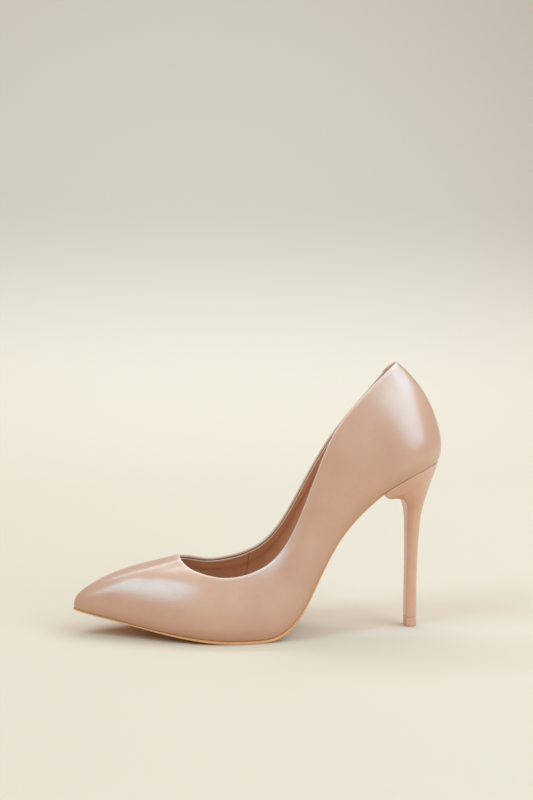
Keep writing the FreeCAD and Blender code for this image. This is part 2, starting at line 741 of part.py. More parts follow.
def heel_blank(inset, overrun=0.0):
    """Solid from above the seat down to the top of the tip, longer at the bottom by overrun."""
    outlines = [seat_outline(inset, True), seat_outline(inset, False)]
    outlines += [heel_outline(section, inset) for section in HEEL_SECTIONS]
    outlines[-1] = [point - Vec(0, 0, overrun) for point in outlines[-1]]
    back = len(outlines[0]) // 2
    steps = [(outlines[k][0] - outlines[k + 1][0]).Length
             + (outlines[k][back] - outlines[k + 1][back]).Length for k in range(len(outlines) - 1)]
    places = [sum(steps[:k]) / sum(steps) for k in range(len(outlines))]
    round_face = skin(outlines, False, places)
    front_face = skin([[outline[-1], outline[0]] for outline in outlines], False, places)
    return solid_from([round_face, front_face, outline_face(outlines[0]), outline_face(outlines[-1])])


def above_seat():
    return sole_band(level(-GLUE), level(SEAT_CLEAR), SEAT_FRONT - SEAT_CLEAR, SHOE_END)


def stem_cylinder(radius, low, high):
    return Part.makeCylinder(radius, high - low, Vec(STEM_X, 0, low))


def make_screw(hole=False):
    """Heel screw, or the hole for it, which is open above the head."""
    head_top = board_top(SCREW_X) - HEAD_SINK
    head_low = head_top - SCREW_HEAD_RADIUS / 2.0
    head = Part.makeCone(SCREW_RADIUS, SCREW_HEAD_RADIUS, SCREW_HEAD_RADIUS / 2.0,
                         sole_point(SCREW_X, head_low), sole_normal(SCREW_X))
    screw = head.fuse(peg(SCREW_X, 0.0, SCREW_RADIUS, -SCREW_DEPTH, head_low))
    if hole:
        screw = screw.fuse(peg(SCREW_X, 0.0, SCREW_HEAD_RADIUS, head_top, THROUGH))
    return screw


def make_nails(hole=False):
    """Heel nails, or the holes for them, which are open above the heads."""
    nails = []
    for x, y in NAIL_PLACES:
        head_top = board_top(x) - HEAD_SINK
        head_low = head_top - NAIL_HEAD
        shaft = peg(x, y, NAIL_RADIUS, -NAIL_DEPTH, head_low)
        nails.append(shaft.fuse(peg(x, y, NAIL_HEAD_RADIUS, head_low, THROUGH if hole else head_top)))
    return nails


def make_heel():
    """Core, leather cover and steel tube of the heel."""
    seat = above_seat()
    outside = heel_blank(0.0)
    inside = heel_blank(HEEL_COVER, CORE_OVERRUN)
    below = Part.makeBox(2 * HALF_WIDTH, 2 * HALF_WIDTH, 2 * CORE_OVERRUN,
                         Vec(STEM_X - HALF_WIDTH, -HALF_WIDTH, TIP_HEIGHT - 2 * CORE_OVERRUN))
    tube = stem_cylinder(TUBE_RADIUS, TIP_HEIGHT + TUBE_LIFT, TUBE_TOP)
    tube = tube.cut(stem_cylinder(PIN_RADIUS + PIN_CLEARANCE, 0.0, TUBE_TOP - TUBE_CAP))
    core = inside.cut([seat, below, stem_cylinder(TUBE_RADIUS, 0.0, TUBE_TOP)])
    return core, outside.cut(inside).cut(seat), tube


def make_tip():
    """Wear tip of the heel and the pin that it is moulded on."""
    top = TIP_HEIGHT - TIP_GAP
    outline = [Vec(point.x, point.y, 0) for point in heel_outline(HEEL_SECTIONS[-1], 0.0)]
    block = outline_face(outline).extrude(Vec(0, 0, top))
    head_low = top - PIN_HEAD_HEIGHT - PIN_HEAD_DEPTH
    head = stem_cylinder(PIN_HEAD_RADIUS, head_low, head_low + PIN_HEAD_HEIGHT)
    pin = head.fuse(stem_cylinder(PIN_RADIUS, head_low, top + PIN_LENGTH))
    return block.cut(pin), pin.removeSplitter()


# ---- whole shoe ---------------------------------------------------------------------------------------
def make_pieces():
    screw, nails, rivets = make_screw(), make_nails(), make_rivets()
    core, cover, tube = make_heel()
    tip, pin = make_tip()
    screw_hole = make_screw(True)
    fixing_holes = [screw_hole] + make_nails(True)
    insole = make_insole_board().cut(fixing_holes)
    shank_board = make_shank_board().cut(fixing_holes + rivet_holes())
    shank = make_shank().cut([screw_hole] + rivet_holes())
    return {
        "upper": make_upper(),
        "topline_tape": make_topline_tape(),
        "back_tab": make_back_tab(),
        "vamp_lining": make_lining(*VAMP_LINING),
        "quarter_lining": make_lining(*QUARTER_LINING),
        "toe_puff": make_stiffener(TOE, PUFF_REACH, PUFF_TOP),
        "heel_counter": make_stiffener(BACK, COUNTER_REACH, COUNTER_TOP),
        "insole_board": insole,
        "shank_board": shank_board,
        "shank": shank,
        "shank_rivets": Part.makeCompound(rivets),
        "forepart_filler": make_forepart_filler(),
        "forepart_pad": make_pad(FOREPART_PAD_ENDS, FOREPART_PAD_INSET),
        "heel_pad": make_pad(HEEL_PAD_ENDS, HEEL_PAD_INSET),
        "sock_lining": make_sock(),
        "outsole": make_outsole(),
        "heel_core": core.cut(fixing_holes),
        "heel_cover": cover,
        "heel_tube": tube,
        "heel_screw": screw,
        "heel_nails": Part.makeCompound(nails),
        "heel_tip": tip,
        "heel_tip_pin": pin,
    }


def main():
    pieces = make_pieces()
    box = Part.makeCompound(list(pieces.values())).optimalBoundingBox(False)
    shift = Vec(-box.Center.x, -box.Center.y, -box.ZMin)
    print("moved by", shift, "size", box.XLength, box.YLength, box.ZLength)
    os.makedirs("parts", exist_ok=True)
    for name, shape in pieces.items():
        shape.translate(shift)
        solids = shape.Solids
        print(name, "solids", len(solids), "valid", shape.isValid(), "volume", round(shape.Volume, 1))
        if len(solids) == 1:
            shape = solids[0]
        shape.exportStep(os.path.join("parts", name + ".step"))


main()
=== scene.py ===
"""Looks of the high heel pump: its leather skins, lining, sole, heel and stitching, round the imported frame.

The shoe is described in millimetres from the toe tip, and to_frame() puts such points where the frame
has the shoe, in metres. The studio is in metres.
"""
import math

import bmesh
import bpy
import numpy as np
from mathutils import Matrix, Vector


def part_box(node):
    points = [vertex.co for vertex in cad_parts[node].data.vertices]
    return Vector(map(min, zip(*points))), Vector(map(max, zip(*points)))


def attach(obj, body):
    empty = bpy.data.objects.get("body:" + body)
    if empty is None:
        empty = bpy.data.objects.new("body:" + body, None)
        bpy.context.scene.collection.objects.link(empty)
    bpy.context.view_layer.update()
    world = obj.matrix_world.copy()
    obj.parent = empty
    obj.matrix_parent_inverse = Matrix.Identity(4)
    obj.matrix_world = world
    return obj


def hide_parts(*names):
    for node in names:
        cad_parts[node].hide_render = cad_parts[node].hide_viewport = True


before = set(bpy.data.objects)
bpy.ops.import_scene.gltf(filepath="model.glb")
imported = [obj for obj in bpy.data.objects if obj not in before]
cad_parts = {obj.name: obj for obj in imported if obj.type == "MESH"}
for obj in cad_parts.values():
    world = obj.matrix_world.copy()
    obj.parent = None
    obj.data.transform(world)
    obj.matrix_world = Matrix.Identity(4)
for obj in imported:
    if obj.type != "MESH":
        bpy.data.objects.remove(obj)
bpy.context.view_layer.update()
MM = 0.001

# ---- thicknesses, in millimetres ----
UPPER = 1.0
FOLD = 0.45
TAPE = 0.2
STIFFENER = 0.8
LINING = 0.7
GLUE = 0.12
OUTSOLE = 1.9
OUTSOLE_WAIST = 0.9
OUTSOLE_TOE = 0.9
INSOLE_BOARD = 1.4
SHANK_BOARD = 1.2
SOCK = 0.7
FOREPART_PAD = 2.0
HEEL_PAD = 2.5
TAB = 0.5
HEEL_COVER = 0.6
TIP_HEIGHT = 5.8
TIP_GAP = 0.1

# ---- the wall's layers and the sole, in millimetres and in fractions of the wall ----
WALL_FACE = UPPER + GLUE
RIM = UPPER + TAPE + FOLD + 2.0 * GLUE
FOLD_START = RIM - FOLD
FOLD_CREASE = 0.3
FOLD_DEPTH = 6.0
FOLD_FADE = (6.5, 11.0)
LINING_DROP = 0.6
TAB_PLACES, TAB_DROP, TAB_CLEAR = (-0.038, -0.005), 6.5, 0.25
VAMP_LINING, QUARTER_LINING = (0.305, 0.695), (-0.3043, 0.3043)
COUNTER_REACH, COUNTER_CREST = 0.17, (0.62, 0.80)
PUFF_REACH, PUFF_CREST = 0.12, (0.30, 0.50)
SPREAD, SQUARE_FOOT = 0.03, 0.15
MARGIN_WIDTH, MARGIN_SHARE = 13.0, 0.55
MARGIN_INSIDE, MARGIN_UNDER = (0.4, 0.7, 1.0), (1.0, 0.7, 0.4, 0.15)
SPINE_START, SPINE_END = 30.0, 196.0
OUTSOLE_PROUD, OUTSOLE_TUCK, TOE_SKIVE_START = 0.25, 1.0, 20.0
TUCK_START, TUCK_END, WAIST_END, SOLE_END = 118.0, 145.0, 165.0, 184.2
SHANK_BOARD_START, SHANK_BOARD_FULL = 112.0, 128.0
SOCK_INSET = 3.0
FOREPART_PAD_ENDS, FOREPART_PAD_INSET, FOREPART_PAD_RAMPS = (69.0, 119.0), 7.0, ((66.0, 80.0), (108.0, 122.0))
HEEL_PAD_ENDS, HEEL_PAD_INSET, HEEL_PAD_RAMPS = (171.0, 213.0), 6.0, ((168.0, 182.0), (200.0, 215.0))

# ---- the sole's profile and the wall's ribs, in millimetres from the toe tip ----
TREAD_FRONT = 96.0
TREAD_BACK = 110.0
TOE_PROFILE = [(0.0, 15.4), (10.9, 13.4), (28.9, 10.2), (52.3, 6.2), (75.2, 3.2), (88.0, 2.1),
               (TREAD_FRONT, OUTSOLE)]
ARCH_PROFILE = [(TREAD_BACK, OUTSOLE), (116.0, 2.4), (121.8, 4.2), (133.8, 14.6), (145.9, 36.4),
                (158.0, 57.8), (169.9, 72.0), (181.8, 82.9), (193.5, 90.4), (206.8, 96.9),
                (214.5, 99.8), (224.0, 102.8)]
WALL_RIBS = [
    ((221.7, 0.0), (223.4, 0.0, 108.5), (221.5, 0.0, 124.0), (213.4, 0.0, 142.8), (196.6, 0.0, 161.8),
     1.0, 0.0, 0.0),
    ((216.5, -13.0), (218.3, -14.6, 109.0), (216.6, -13.6, 123.0), (209.8, -10.4, 140.5),
     (192.5, -6.5, 158.8), 0.97, 0.0, -0.5),
    ((203.0, -22.8), (203.5, -25.6, 104.0), (203.0, -24.6, 117.5), (198.0, -20.2, 134.6),
     (184.7, -12.6, 152.7), 0.97, 0.0, -4.0),
    ((183.0, -24.0), (182.0, -26.8, 93.0), (180.0, -27.6, 106.5), (176.5, -25.6, 122.2),
     (170.8, -19.4, 140.2), 0.92, 0.0, -8.7),
    ((160.5, -23.8), (159.5, -26.8, 71.0), (158.0, -28.4, 84.5), (156.0, -27.8, 100.5),
     (154.2, -23.9, 120.0), 0.76, 0.0, -11.7),
    ((139.0, -27.0), (138.0, -30.0, 31.0), (137.0, -31.6, 45.0), (136.5, -30.4, 61.5),
     (136.2, -26.2, 77.5), 0.76, 0.0, -1.5),
    ((118.5, -33.6), (117.8, -36.6, 11.5), (117.5, -36.6, 22.5), (117.6, -33.2, 34.5),
     (118.0, -27.3, 46.5), 0.86, -2.0, 2.2),
    ((95.5, -36.8), (95.5, -39.4, 9.5), (95.5, -38.6, 18.5), (96.3, -34.2, 27.5), (98.0, -27.3, 37.2),
     0.92, -4.0, 2.7),
    ((68.5, -32.8), (68.7, -35.6, 10.5), (70.8, -35.0, 20.0), (75.0, -30.8, 29.5), (82.4, -24.6, 37.3),
     0.93, -3.0, 2.3),
    ((42.5, -22.6), (43.0, -24.8, 14.0), (48.5, -25.0, 24.5), (58.5, -22.4, 34.3), (71.4, -17.8, 40.0),
     0.92, -1.0, 2.4),
    ((20.5, -12.8), (21.0, -14.4, 17.5), (28.0, -15.2, 27.5), (44.0, -14.6, 36.6), (66.3, -12.2, 42.6),
     0.93, 0.0, 1.2),
    ((5.0, -5.6), (5.6, -6.2, 19.8), (14.5, -7.2, 28.6), (37.5, -7.6, 38.8), (63.6, -6.6, 45.1),
     0.95, 0.0, 0.2),
    ((0.6, 0.0), (1.4, 0.0, 20.6), (9.8, 0.0, 28.6), (34.3, 0.0, 39.2), (62.9, 0.0, 46.2),
     1.0, 0.0, 0.0),
]
RISE_SHARE = (0.0, 0.1, 0.35, 0.7, 1.0)
BACK, TOE = 0.0, 0.5
LOOP_STEPS = 480

# ---- the heel's sections: (x, z) of the flat front and of the back, half the front, half the widest ----
HEEL_SECTIONS = [
    ((187.2, 81.4), (220.3, 97.0), 20.6, 21.0),
    ((194.6, 80.4), (218.0, 90.8), 15.0, 15.8),
    ((200.4, 77.0), (215.6, 83.2), 9.6, 10.8),
    ((202.2, 69.3), (212.6, 72.6), 6.3, 7.3),
    ((202.4, 57.0), (210.7, 59.0), 5.1, 5.7),
    ((202.3, 38.0), (209.5, 39.0), 4.4, 4.8),
    ((202.0, 20.0), (209.2, 20.0), 4.2, 4.5),
    ((202.0, TIP_HEIGHT), (209.2, TIP_HEIGHT), 4.2, 4.5),
]
SEAT_FRONT, SEAT_BACK, SEAT_CAP = 185.0, 221.7, 12.0
ROUND_START, OUTLINE_STEPS = 0.3, 7
STEM_X = 205.6

# ---- how finely the pieces are meshed ----
SHARP_ANGLE = 50.0
NUDGE = 0.002           # share of the wall or of the way round over which slopes are measured
SOLE_NUDGE = 0.05       # the same along the sole, in millimetres
PLACE_POWER = 0.75      # brings the wall's ribs closer together in the spline where the shoe bends
SHOE_LENGTH = 230.0
OUTLINE_SAMPLES = 2000
END_GAP = 0.1
INSOLE_ROWS, INSOLE_COLUMNS = 160, 41
WALL_ROWS, FOOT_ROWS_END, RIM_STEPS = 56, 3.0, 10
FINE_STEPS = 3000
FOOT_HEIGHTS = (0.0, 0.25, 0.6, 1.0, 1.5, 2.1)
FOLD_ROWS, TAB_ROWS, TAB_TURNS = 7, 10, 12
LINING_ROWS = ((0.0, 0.75, 18), (0.78, 1.0, 22))
TAB_SPACING, SOLE_SPACING = 0.001, 1.0 / 640.0
BEVEL_STEPS, BEVEL_ANGLE = 3, 35.0
HEEL_ROWS, HEEL_COLUMNS, FRONT_COLUMNS = 90, 65, 13

# ---- small shapes, in millimetres ----
TUCK_HEIGHT, TUCK_DEPTH = 1.3, 0.35        # where the upper turns under at the foot
# The rim's stretch is painted lighter as a highlight, and the foot's stretch darker and warmer as painted
# shade with warm floor bounce.
RIM_HIGHLIGHT_BAND, FOOT_SHADE_BAND = 1.6, 9.0             # stretches of the upper that are toned
RAW_EDGE = (0.35, 0.7)
SEAM_PLACE = BACK
SEAM_DEPTH, SEAM_RIDGE = 0.3, 0.07
SEAM_SPAN, SEAM_STEPS = 0.012, 31
GROOVE_WIDTH, RIDGE_PLACE, RIDGE_WIDTH, SEAM_FADE, SEAM_LINE = 0.28, 0.95, 0.5, 2.0, 0.3
LINING_ROUND, LINING_ROUND_REACH = 0.22, 0.3
STITCH_DROP, STITCH_RADIUS, STITCH_PITCH, STITCH_SHARE, STITCH_PROUD = 0.25, 0.14, 1.7, 0.8, 0.4
STITCH_RINGS = [(-1.0, 0.02), (-0.96, 0.55), (-0.84, 0.86), (-0.6, 1.0), (0.6, 1.0), (0.84, 0.86),
                (0.96, 0.55), (1.0, 0.02)]     # place along half a stitch, share of its radius
STITCH_SIDES, STITCH_SIDEWAYS = 8, Vector((0.3, 0.5, 0.8))
ZIGZAG_POINTS, ZIGZAG_RADIUS, ZIGZAG_LIFT = 12, 0.17, 0.05
ZIGZAG_ENDS, ZIGZAG_DROPS = (0.04, 0.96), (1.3, 0.1)    # across the tab, and above its outer end
TAB_TURN_DROP, TAB_ROUND = 0.6, 0.16
PAD_EDGE, PAD_OVERLAP, PAD_FEATHER = (1.0, 7.0), 4.0, 0.05
SOCK_TURN, SOCK_TURN_WIDTH = 0.35, 0.9
EDGE_ROUND, EDGE_ROUND_LOW, EDGE_STEPS = 0.4, 0.56, 3
TOP_ROUND_SHARE, LOW_ROUND_SHARE = 0.36, 0.5
SOLE_TOP_SHARES, SOLE_LOW_SHARES, SOLE_TOP_EDGE = (1.0, 0.6, 0.2), (0.1, 0.3, 0.55, 0.8, 1.0), 2.0
CHANNEL = [(2.6, 0.0), (2.85, 0.16), (3.1, 0.2), (3.35, 0.16), (3.6, 0.0)]      # distance in, depth
SPINE_WELD = 0.001
HEEL_CORNER, TIP_CORNER = 0.45, 0.3
TIP_LEVELS = [(0.0, 0.45), (0.06, 0.22), (0.18, 0.08), (0.4, 0.0), (2.2, 0.0), (4.4, 0.0),
              (5.35, 0.0), (5.58, 0.06), (TIP_HEIGHT - TIP_GAP, 0.28)]          # height, inset


# ---- tones ----
def linear(*tone):
    """Linear colour of a screen tone from 0 to 255."""
    shares = [value / 255.0 for value in tone]
    return [c / 12.92 if c <= 0.04045 else ((c + 0.055) / 1.055) ** 2.4 for c in shares]


LEATHER_TONE, LEATHER_SHADE = linear(205, 154, 128), linear(199, 146, 120)
LEATHER_ROUGHNESS, LEATHER_SHINE, LEATHER_COAT, COAT_ROUGHNESS = 0.33, 0.9, 0.5, 0.23
# Painted highlight along the rolled rim, and painted shade with warm floor bounce low on the upper.
RIM_HIGHLIGHT_TONE, RIM_HIGHLIGHT_SHARE = linear(226, 190, 172), 0.8
FOOT_BOUNCE_SHADE_TONE, FOOT_SHADE_SHARE = linear(188, 136, 98), 0.6
SEAM_TONE, SEAM_DARK = linear(126, 84, 62), 0.8
HEEL_TONE, HEEL_SHADE = linear(213, 155, 125), linear(206, 148, 118)
TIP_TONE = linear(210, 159, 132)
LINING_TONE, LINING_SHADE = linear(222, 164, 130), linear(208, 148, 114)
RAW_EDGE_TONE = linear(236, 206, 180)
SOCK_TONE, SOCK_SHADE = linear(222, 190, 164), linear(212, 178, 152)
SOLE_TONE, SOLE_SHADE = linear(206, 168, 132), linear(192, 150, 112)
SOLE_SCUFF_TONE = linear(168, 128, 96)
EDGE_TONE, EDGE_SHADE = linear(228, 164, 112), linear(198, 136, 90)
THREAD_TONE = linear(112, 66, 40)
FOAM_TONE = linear(238, 230, 206)

# ---- surfaces: pattern scales in repeats a metre, bump depths in metres ----
MOTTLE_SCALE, WAVE_SCALE, GRAIN_SCALE, PORE_SCALE, GLOSS_SCALE = 38.0, 70.0, 1250.0, 2400.0, 260.0
WAVE_DEPTH, WAVE_STRENGTH, GRAIN_DEPTH, PORE_DEPTH = 0.00022, 0.55, 0.00005, 0.00001
GLOSS_SPREAD, NUDE_GLOSS_SPREAD = 0.05, 0.035
NOISE_BAND = (0.3, 0.7)                 # most of a noise's values lie between these
MOTTLE_BAND, NAP_BAND, FIBRE_BAND = (0.35, 0.68), (0.35, 0.7), (0.35, 0.65)
LINING_ROUGHNESS, LINING_GRAIN, NAP_SCALE, NAP_DEPTH, NAP_SHADE = 0.62, 1.8, 900.0, 0.00004, 0.25
SOCK_ROUGHNESS, SOCK_GRAIN, SOLE_ROUGHNESS, SOLE_GRAIN = 0.5, 1.4, 0.46, 1.2
FIBRE_STRETCH, FIBRE_DEPTH, FIBRE_SHADE = (180.0, 180.0, 2600.0), 0.00003, 0.30
SCUFF_STRETCH, SCUFF_BAND, SCUFF_SHADE = (60.0, 900.0, 60.0), (0.55, 0.8), 0.22
TWIST_SCALE, TWIST_DEPTH, TWIST_SHADE = 900.0, 0.00004, 0.55
FLECK_BAND, BOARD_DEPTH = (0.62, 0.72), 0.00008
FOAM_SCALE, FOAM_BAND, FOAM_DEPTH, FOAM_SHADE = 1400.0, (0.05, 0.4), 0.00012, 0.62
WEAVE_DEPTH, WEAVE_SHADE = 0.00006, 0.6
FLOW_SCALE, FLOW_SHARE, FLOW_SHADE, SPARK_DEPTH = 30.0, 0.16, 0.8, 0.00002
BRUSH_ALONG, BRUSH_DEPTH, BRUSH_SHADE = 60.0, 0.00001, 0.72
PAPER_ROUGHNESS, PAPER_SCALE, PAPER_GRAIN, PAPER_MOTTLE, PAPER_SHADE = 0.9, 3.0, 900.0, 0.06, 0.9

# ---- the studio ----
CAMERA_PLACE = (-0.0537, -0.6660, 0.1730)
CAMERA_TURN, CAMERA_DOWN, CAMERA_LENS, CAMERA_SENSOR = 5.0, 2.885, 50.0, 36.0
LIGHT_TARGET = Vector((0.0, 0.0, 0.07))
# Painted shade darkens the paper up the wall, to the given share over the given band of heights.
PAPER_TONE, PAPER_HIGH_SHADE, PAPER_HIGH_SHADE_BAND = linear(222, 195, 172), 0.70, (0.05, 0.5)
ROOM_TONE, ROOM_LIGHT = (1.0, 0.81, 0.63), 0.62
SWEEP_START, SWEEP_RADIUS, SWEEP_STEPS, FLOOR_REACH = 0.7, 1.6, 48, 3.2
WASH_SIZE, WASH_POWER, WASH_TONE = (2.4, 0.5), 34.0, (0.43, 0.76, 1.0)
WASH_PLACE, WASH_TARGET = Vector((0.0, 0.9, 1.6)), Vector((0.0, 1.9, 0.3))
# name, turn, rise, distance, (width, height), radiance, colour
SOFT_LIGHTS = [
    ("window_right", 50.0, 34.0, 1.5, (1.1, 1.2), 4.4, (0.44, 0.785, 1.0)),
    ("window_left", -59.0, 47.0, 1.5, (0.6, 1.0), 6.0, (0.34, 0.77, 1.0)),
    ("side_right", 92.0, 50.0, 1.5, (0.6, 0.6), 5.0, (0.38, 0.75, 1.0)),
    ("ceiling", 180.0, 75.0, 1.8, (1.2, 1.2), 0.75, (1.0, 0.68, 0.38)),
]


# ---- cubic splines ----
def spline_slopes(x, y, closed=False):
    """Slopes at a cubic spline's knots. A closed spline has one more x than y, and an open one's end slopes
    fit the four points nearest each end."""
    x, y = np.asarray(x, float), np.asarray(y, float)
    count, step = len(y), np.diff(x)
    matrix, right = np.zeros((count, count)), np.zeros_like(y)
    for i in range(count) if closed else range(1, count - 1):
        before, after = i - 1, (i + 1) % count
        matrix[i, i] = 2.0 * (step[i] + step[before])
        matrix[i, before] += step[i]
        matrix[i, after] += step[before]
        right[i] = 3.0 * (step[i] * (y[i] - y[before]) / step[before]
                          + step[before] * (y[after] - y[i]) / step[i])
    for end, picks in () if closed else ((0, [0, 1, 2, 3]), (-1, [-1, -2, -3, -4])):
        matrix[end, end] = 1.0
        right[end] = end_slope(x[picks], y[picks])
    return np.linalg.solve(matrix, right.reshape(count, -1)).reshape(y.shape)


def end_slope(x, y):
    """Slope at x[0] of the cubic through four points."""
    total = 0.0
    for i in range(4):
        others = [j for j in range(4) if j != i]
        bottom = np.prod([x[i] - x[j] for j in others])
        top = sum(np.prod([x[0] - x[k] for k in others if k != j]) for j in others)
        total = total + y[i] * top / bottom
    return total


def cubic(u, step, start, end, slope_in, slope_out):
    """Value at share u of a cubic stretch that is step long."""
    return ((1 + 2 * u) * (1 - u) ** 2 * start + u * (1 - u) ** 2 * step * slope_in
            + u * u * (3 - 2 * u) * end - u * u * (1 - u) * step * slope_out)


def hermite(x, y, slopes, at):
    """Values at points of a spline, given by its knots and slopes."""
    i = np.clip(np.searchsorted(x, at, side="right") - 1, 0, len(x) - 2)
    step = x[i + 1] - x[i]
    u = (at - x[i]) / step
    if y.ndim > 1:
        u, step = u[..., None], step[..., None]
    return cubic(u, step, y[i], y[i + 1], slopes[i], slopes[i + 1])


def through(points, at):
    """A spline through points, at shares of the way along its knots."""
    knots = np.arange(len(points)) / (len(points) - 1.0)
    return hermite(knots, points, spline_slopes(knots, points), at)


class Profile:
    """Height of the feather line over x, through the points of one stretch."""

    def __init__(self, points):
        self.x = np.array([x for x, z in points])
        self.z = np.array([z for x, z in points])
        self.slopes = spline_slopes(self.x, self.z)

    def height(self, x):
        return hermite(self.x, self.z, self.slopes, np.clip(x, self.x[0], self.x[-1]))


TOE_CURVE, ARCH_CURVE = Profile(TOE_PROFILE), Profile(ARCH_PROFILE)


def sole_height(x):
    x = np.asarray(x, float)
    arch = np.where(x > TREAD_BACK, ARCH_CURVE.height(x), OUTSOLE)
    return np.where(x < TREAD_FRONT, TOE_CURVE.height(x), arch)


def sole_normal(x):
    """Upward normal of the sole's profile."""
    slope = (sole_height(x + SOLE_NUDGE) - sole_height(x - SOLE_NUDGE)) / (2.0 * SOLE_NUDGE)
    length = np.sqrt(1.0 + slope * slope)
    return np.stack([-slope / length, np.zeros_like(slope), 1.0 / length], -1)


def sole_points(x, y, lift):
    """Points at lift above the feather line, square to it."""
    x = np.asarray(x, float)
    flat = np.stack([x, y + 0.0 * x, sole_height(x)], -1)
    return flat + sole_normal(x) * np.asarray(lift)[..., None]


def ramp(x, start, end):
    u = np.clip((np.asarray(x, float) - start) / (end - start), 0.0, 1.0)
    return u * u * (3.0 - 2.0 * u)


# ---- the wall of the shoe ----
def rib_points(rib, inner=False):
    foot_width, shift, rise = rib[5:]
    points = [(rib[0][0], rib[0][1], float(sole_height(rib[0][0])))] + list(rib[1:5])
    if not inner:
        return points
    fitted = []
    for k, (x, y, z) in enumerate(points):
        width = foot_width + (1.0 - foot_width) * k / 4.0
        z = float(sole_height(x + shift)) if k == 0 else z + rise * RISE_SHARE[k]
        fitted.append((x + shift, -y * width, z))
    return fitted


def make_rows():
    """Closed curves round the shoe: their places and points, for the five points of every rib."""
    ribs = [rib_points(rib) for rib in WALL_RIBS]
    ribs += [rib_points(rib, True) for rib in reversed(WALL_RIBS[1:-1])]
    points = np.array(ribs)
    steps = np.linalg.norm(points - np.roll(points, -1, 0), axis=2).sum(1) ** PLACE_POWER
    toe_index = len(WALL_RIBS) - 1
    outer, inner = steps[:toe_index], steps[toe_index:]
    shares = np.concatenate([0.5 * outer / outer.sum(), 0.5 * inner / inner.sum()])
    return np.concatenate([[0.0], np.cumsum(shares)]), points


ROW_PLACES, ROW_POINTS = make_rows()
ROW_SLOPES = spline_slopes(ROW_PLACES, ROW_POINTS, closed=True)


def row_points(s):
    """The five rib points at each place round the shoe: an array of (places, 5, 3)."""
    knots, slopes = (np.append(rows, rows[:1], 0).reshape(len(ROW_PLACES), -1)
                     for rows in (ROW_POINTS, ROW_SLOPES))
    points = hermite(ROW_PLACES, knots, slopes, np.mod(s, 1.0)).reshape(len(s), 5, 3)
    points[:, 0, 2] = sole_height(points[:, 0, 0])
    return points


class Ribs:
    """The outer surface's ribs at many places round the shoe."""

    def __init__(self, s):
        self.points = row_points(s)
        chords = np.linalg.norm(np.diff(self.points, axis=1), axis=2)
        self.length = chords.sum(1)
        self.places = np.concatenate([np.zeros((len(s), 1)), np.cumsum(chords, 1)], 1)
        self.places /= self.length[:, None]
        self.slopes = np.array([spline_slopes(x, y) for x, y in zip(self.places, self.points)])

    def point(self, t):
        """Point of each rib at fraction t, one value or one for each rib."""
        t = np.clip(np.broadcast_to(t, self.length.shape), 0.0, 1.0)
        i = np.clip((t[:, None] >= self.places).sum(1) - 1, 0, 3)
        n = np.arange(len(t))
        step = self.places[n, i + 1] - self.places[n, i]
        u = (t - self.places[n, i]) / step
        return cubic(u[:, None], step[:, None], self.points[n, i], self.points[n, i + 1],
                     self.slopes[n, i], self.slopes[n, i + 1])

    def along(self, t):
        t = np.clip(np.broadcast_to(t, self.length.shape), NUDGE, 1.0 - NUDGE)
        return unit(self.point(t + NUDGE) - self.point(t - NUDGE))


def unit(vectors):
    return vectors / np.linalg.norm(vectors, axis=-1, keepdims=True)


class Wall:
    """The wall of the shoe at places s: points at any height and any depth inside its outer surface."""

    def __init__(self, s):
        self.s = np.asarray(s, float)
        self.ribs = Ribs(self.s)
        self.before, self.after = Ribs(self.s - NUDGE), Ribs(self.s + NUDGE)
        self.length = self.ribs.length
        self.foot = self.ribs.points[:, 0]

    def inward(self, t):
        round_shoe = self.after.point(t) - self.before.point(t)
        normal = unit(np.cross(round_shoe, self.ribs.along(t)))
        foot_share = np.maximum(0.0, 1.0 - np.broadcast_to(t, self.length.shape) / SQUARE_FOOT)
        up = sole_normal(self.foot[:, 0])
        return unit(normal - up * ((normal * up).sum(1) * foot_share)[:, None])

    def at(self, t, depth):
        depth = np.broadcast_to(depth, self.length.shape)
        return self.ribs.point(t) + self.inward(t) * depth[:, None]

    def below_top(self, drop, depth):
        return self.at(1.0 - drop / self.length, depth)

    def over_top(self, turn, depth, width, height):
        """Point on the half oval that runs over the topline, from depth to depth + width."""
        side = depth + width / 2.0 * (1.0 - math.cos(turn))
        return self.at(1.0, side) + self.ribs.along(1.0) * (height * math.sin(turn))


def loop_distance(s, centre):
    gap = np.abs(np.mod(s, 1.0) - centre)
    return np.minimum(gap, 1.0 - gap)


def packing(wall, t):
    """Depth of stiffener or folded edge between the upper and the lining."""
    def share(centre, reach, crest):
        away = ramp(loop_distance(wall.s, centre), reach - SPREAD, reach + SPREAD)
        return (1.0 - away) * (1.0 - ramp(t, *crest))

    drop = (1.0 - t) * wall.length
    stiff = (STIFFENER + GLUE) * np.maximum(share(BACK, COUNTER_REACH, COUNTER_CREST),
                                            share(TOE, PUFF_REACH, PUFF_CREST))
    edge = (TAPE + FOLD + 3.0 * GLUE) * (1.0 - ramp(drop, *FOLD_FADE))
    return np.maximum(stiff, edge)


# ---- the sheets that lie on the bottom ----
def shank_board_thickness(x):
    return SHANK_BOARD * ramp(x, SHANK_BOARD_START, SHANK_BOARD_FULL)


def hump(x, ramps):
    return ramp(x, *ramps[0]) * (1.0 - ramp(x, *ramps[1]))


def pad_low(x):
    return WALL_FACE + shank_board_thickness(x) + GLUE + INSOLE_BOARD + GLUE


def inset_outline(inset):
    """The feather line moved inwards in plan, as (x, y) of its outer and of its inner side, by rising x."""
    s = np.arange(OUTLINE_SAMPLES) / OUTLINE_SAMPLES
    plan = row_points(s)[:, 0, :2]
    along = np.roll(plan, -1, 0) - np.roll(plan, 1, 0)
    moved = plan + unit(np.stack([along[:, 1], -along[:, 0]], -1)) * inset
    outer, inner = moved[:OUTLINE_SAMPLES // 2 + 1], moved[OUTLINE_SAMPLES // 2:]
    return outer[::-1], inner


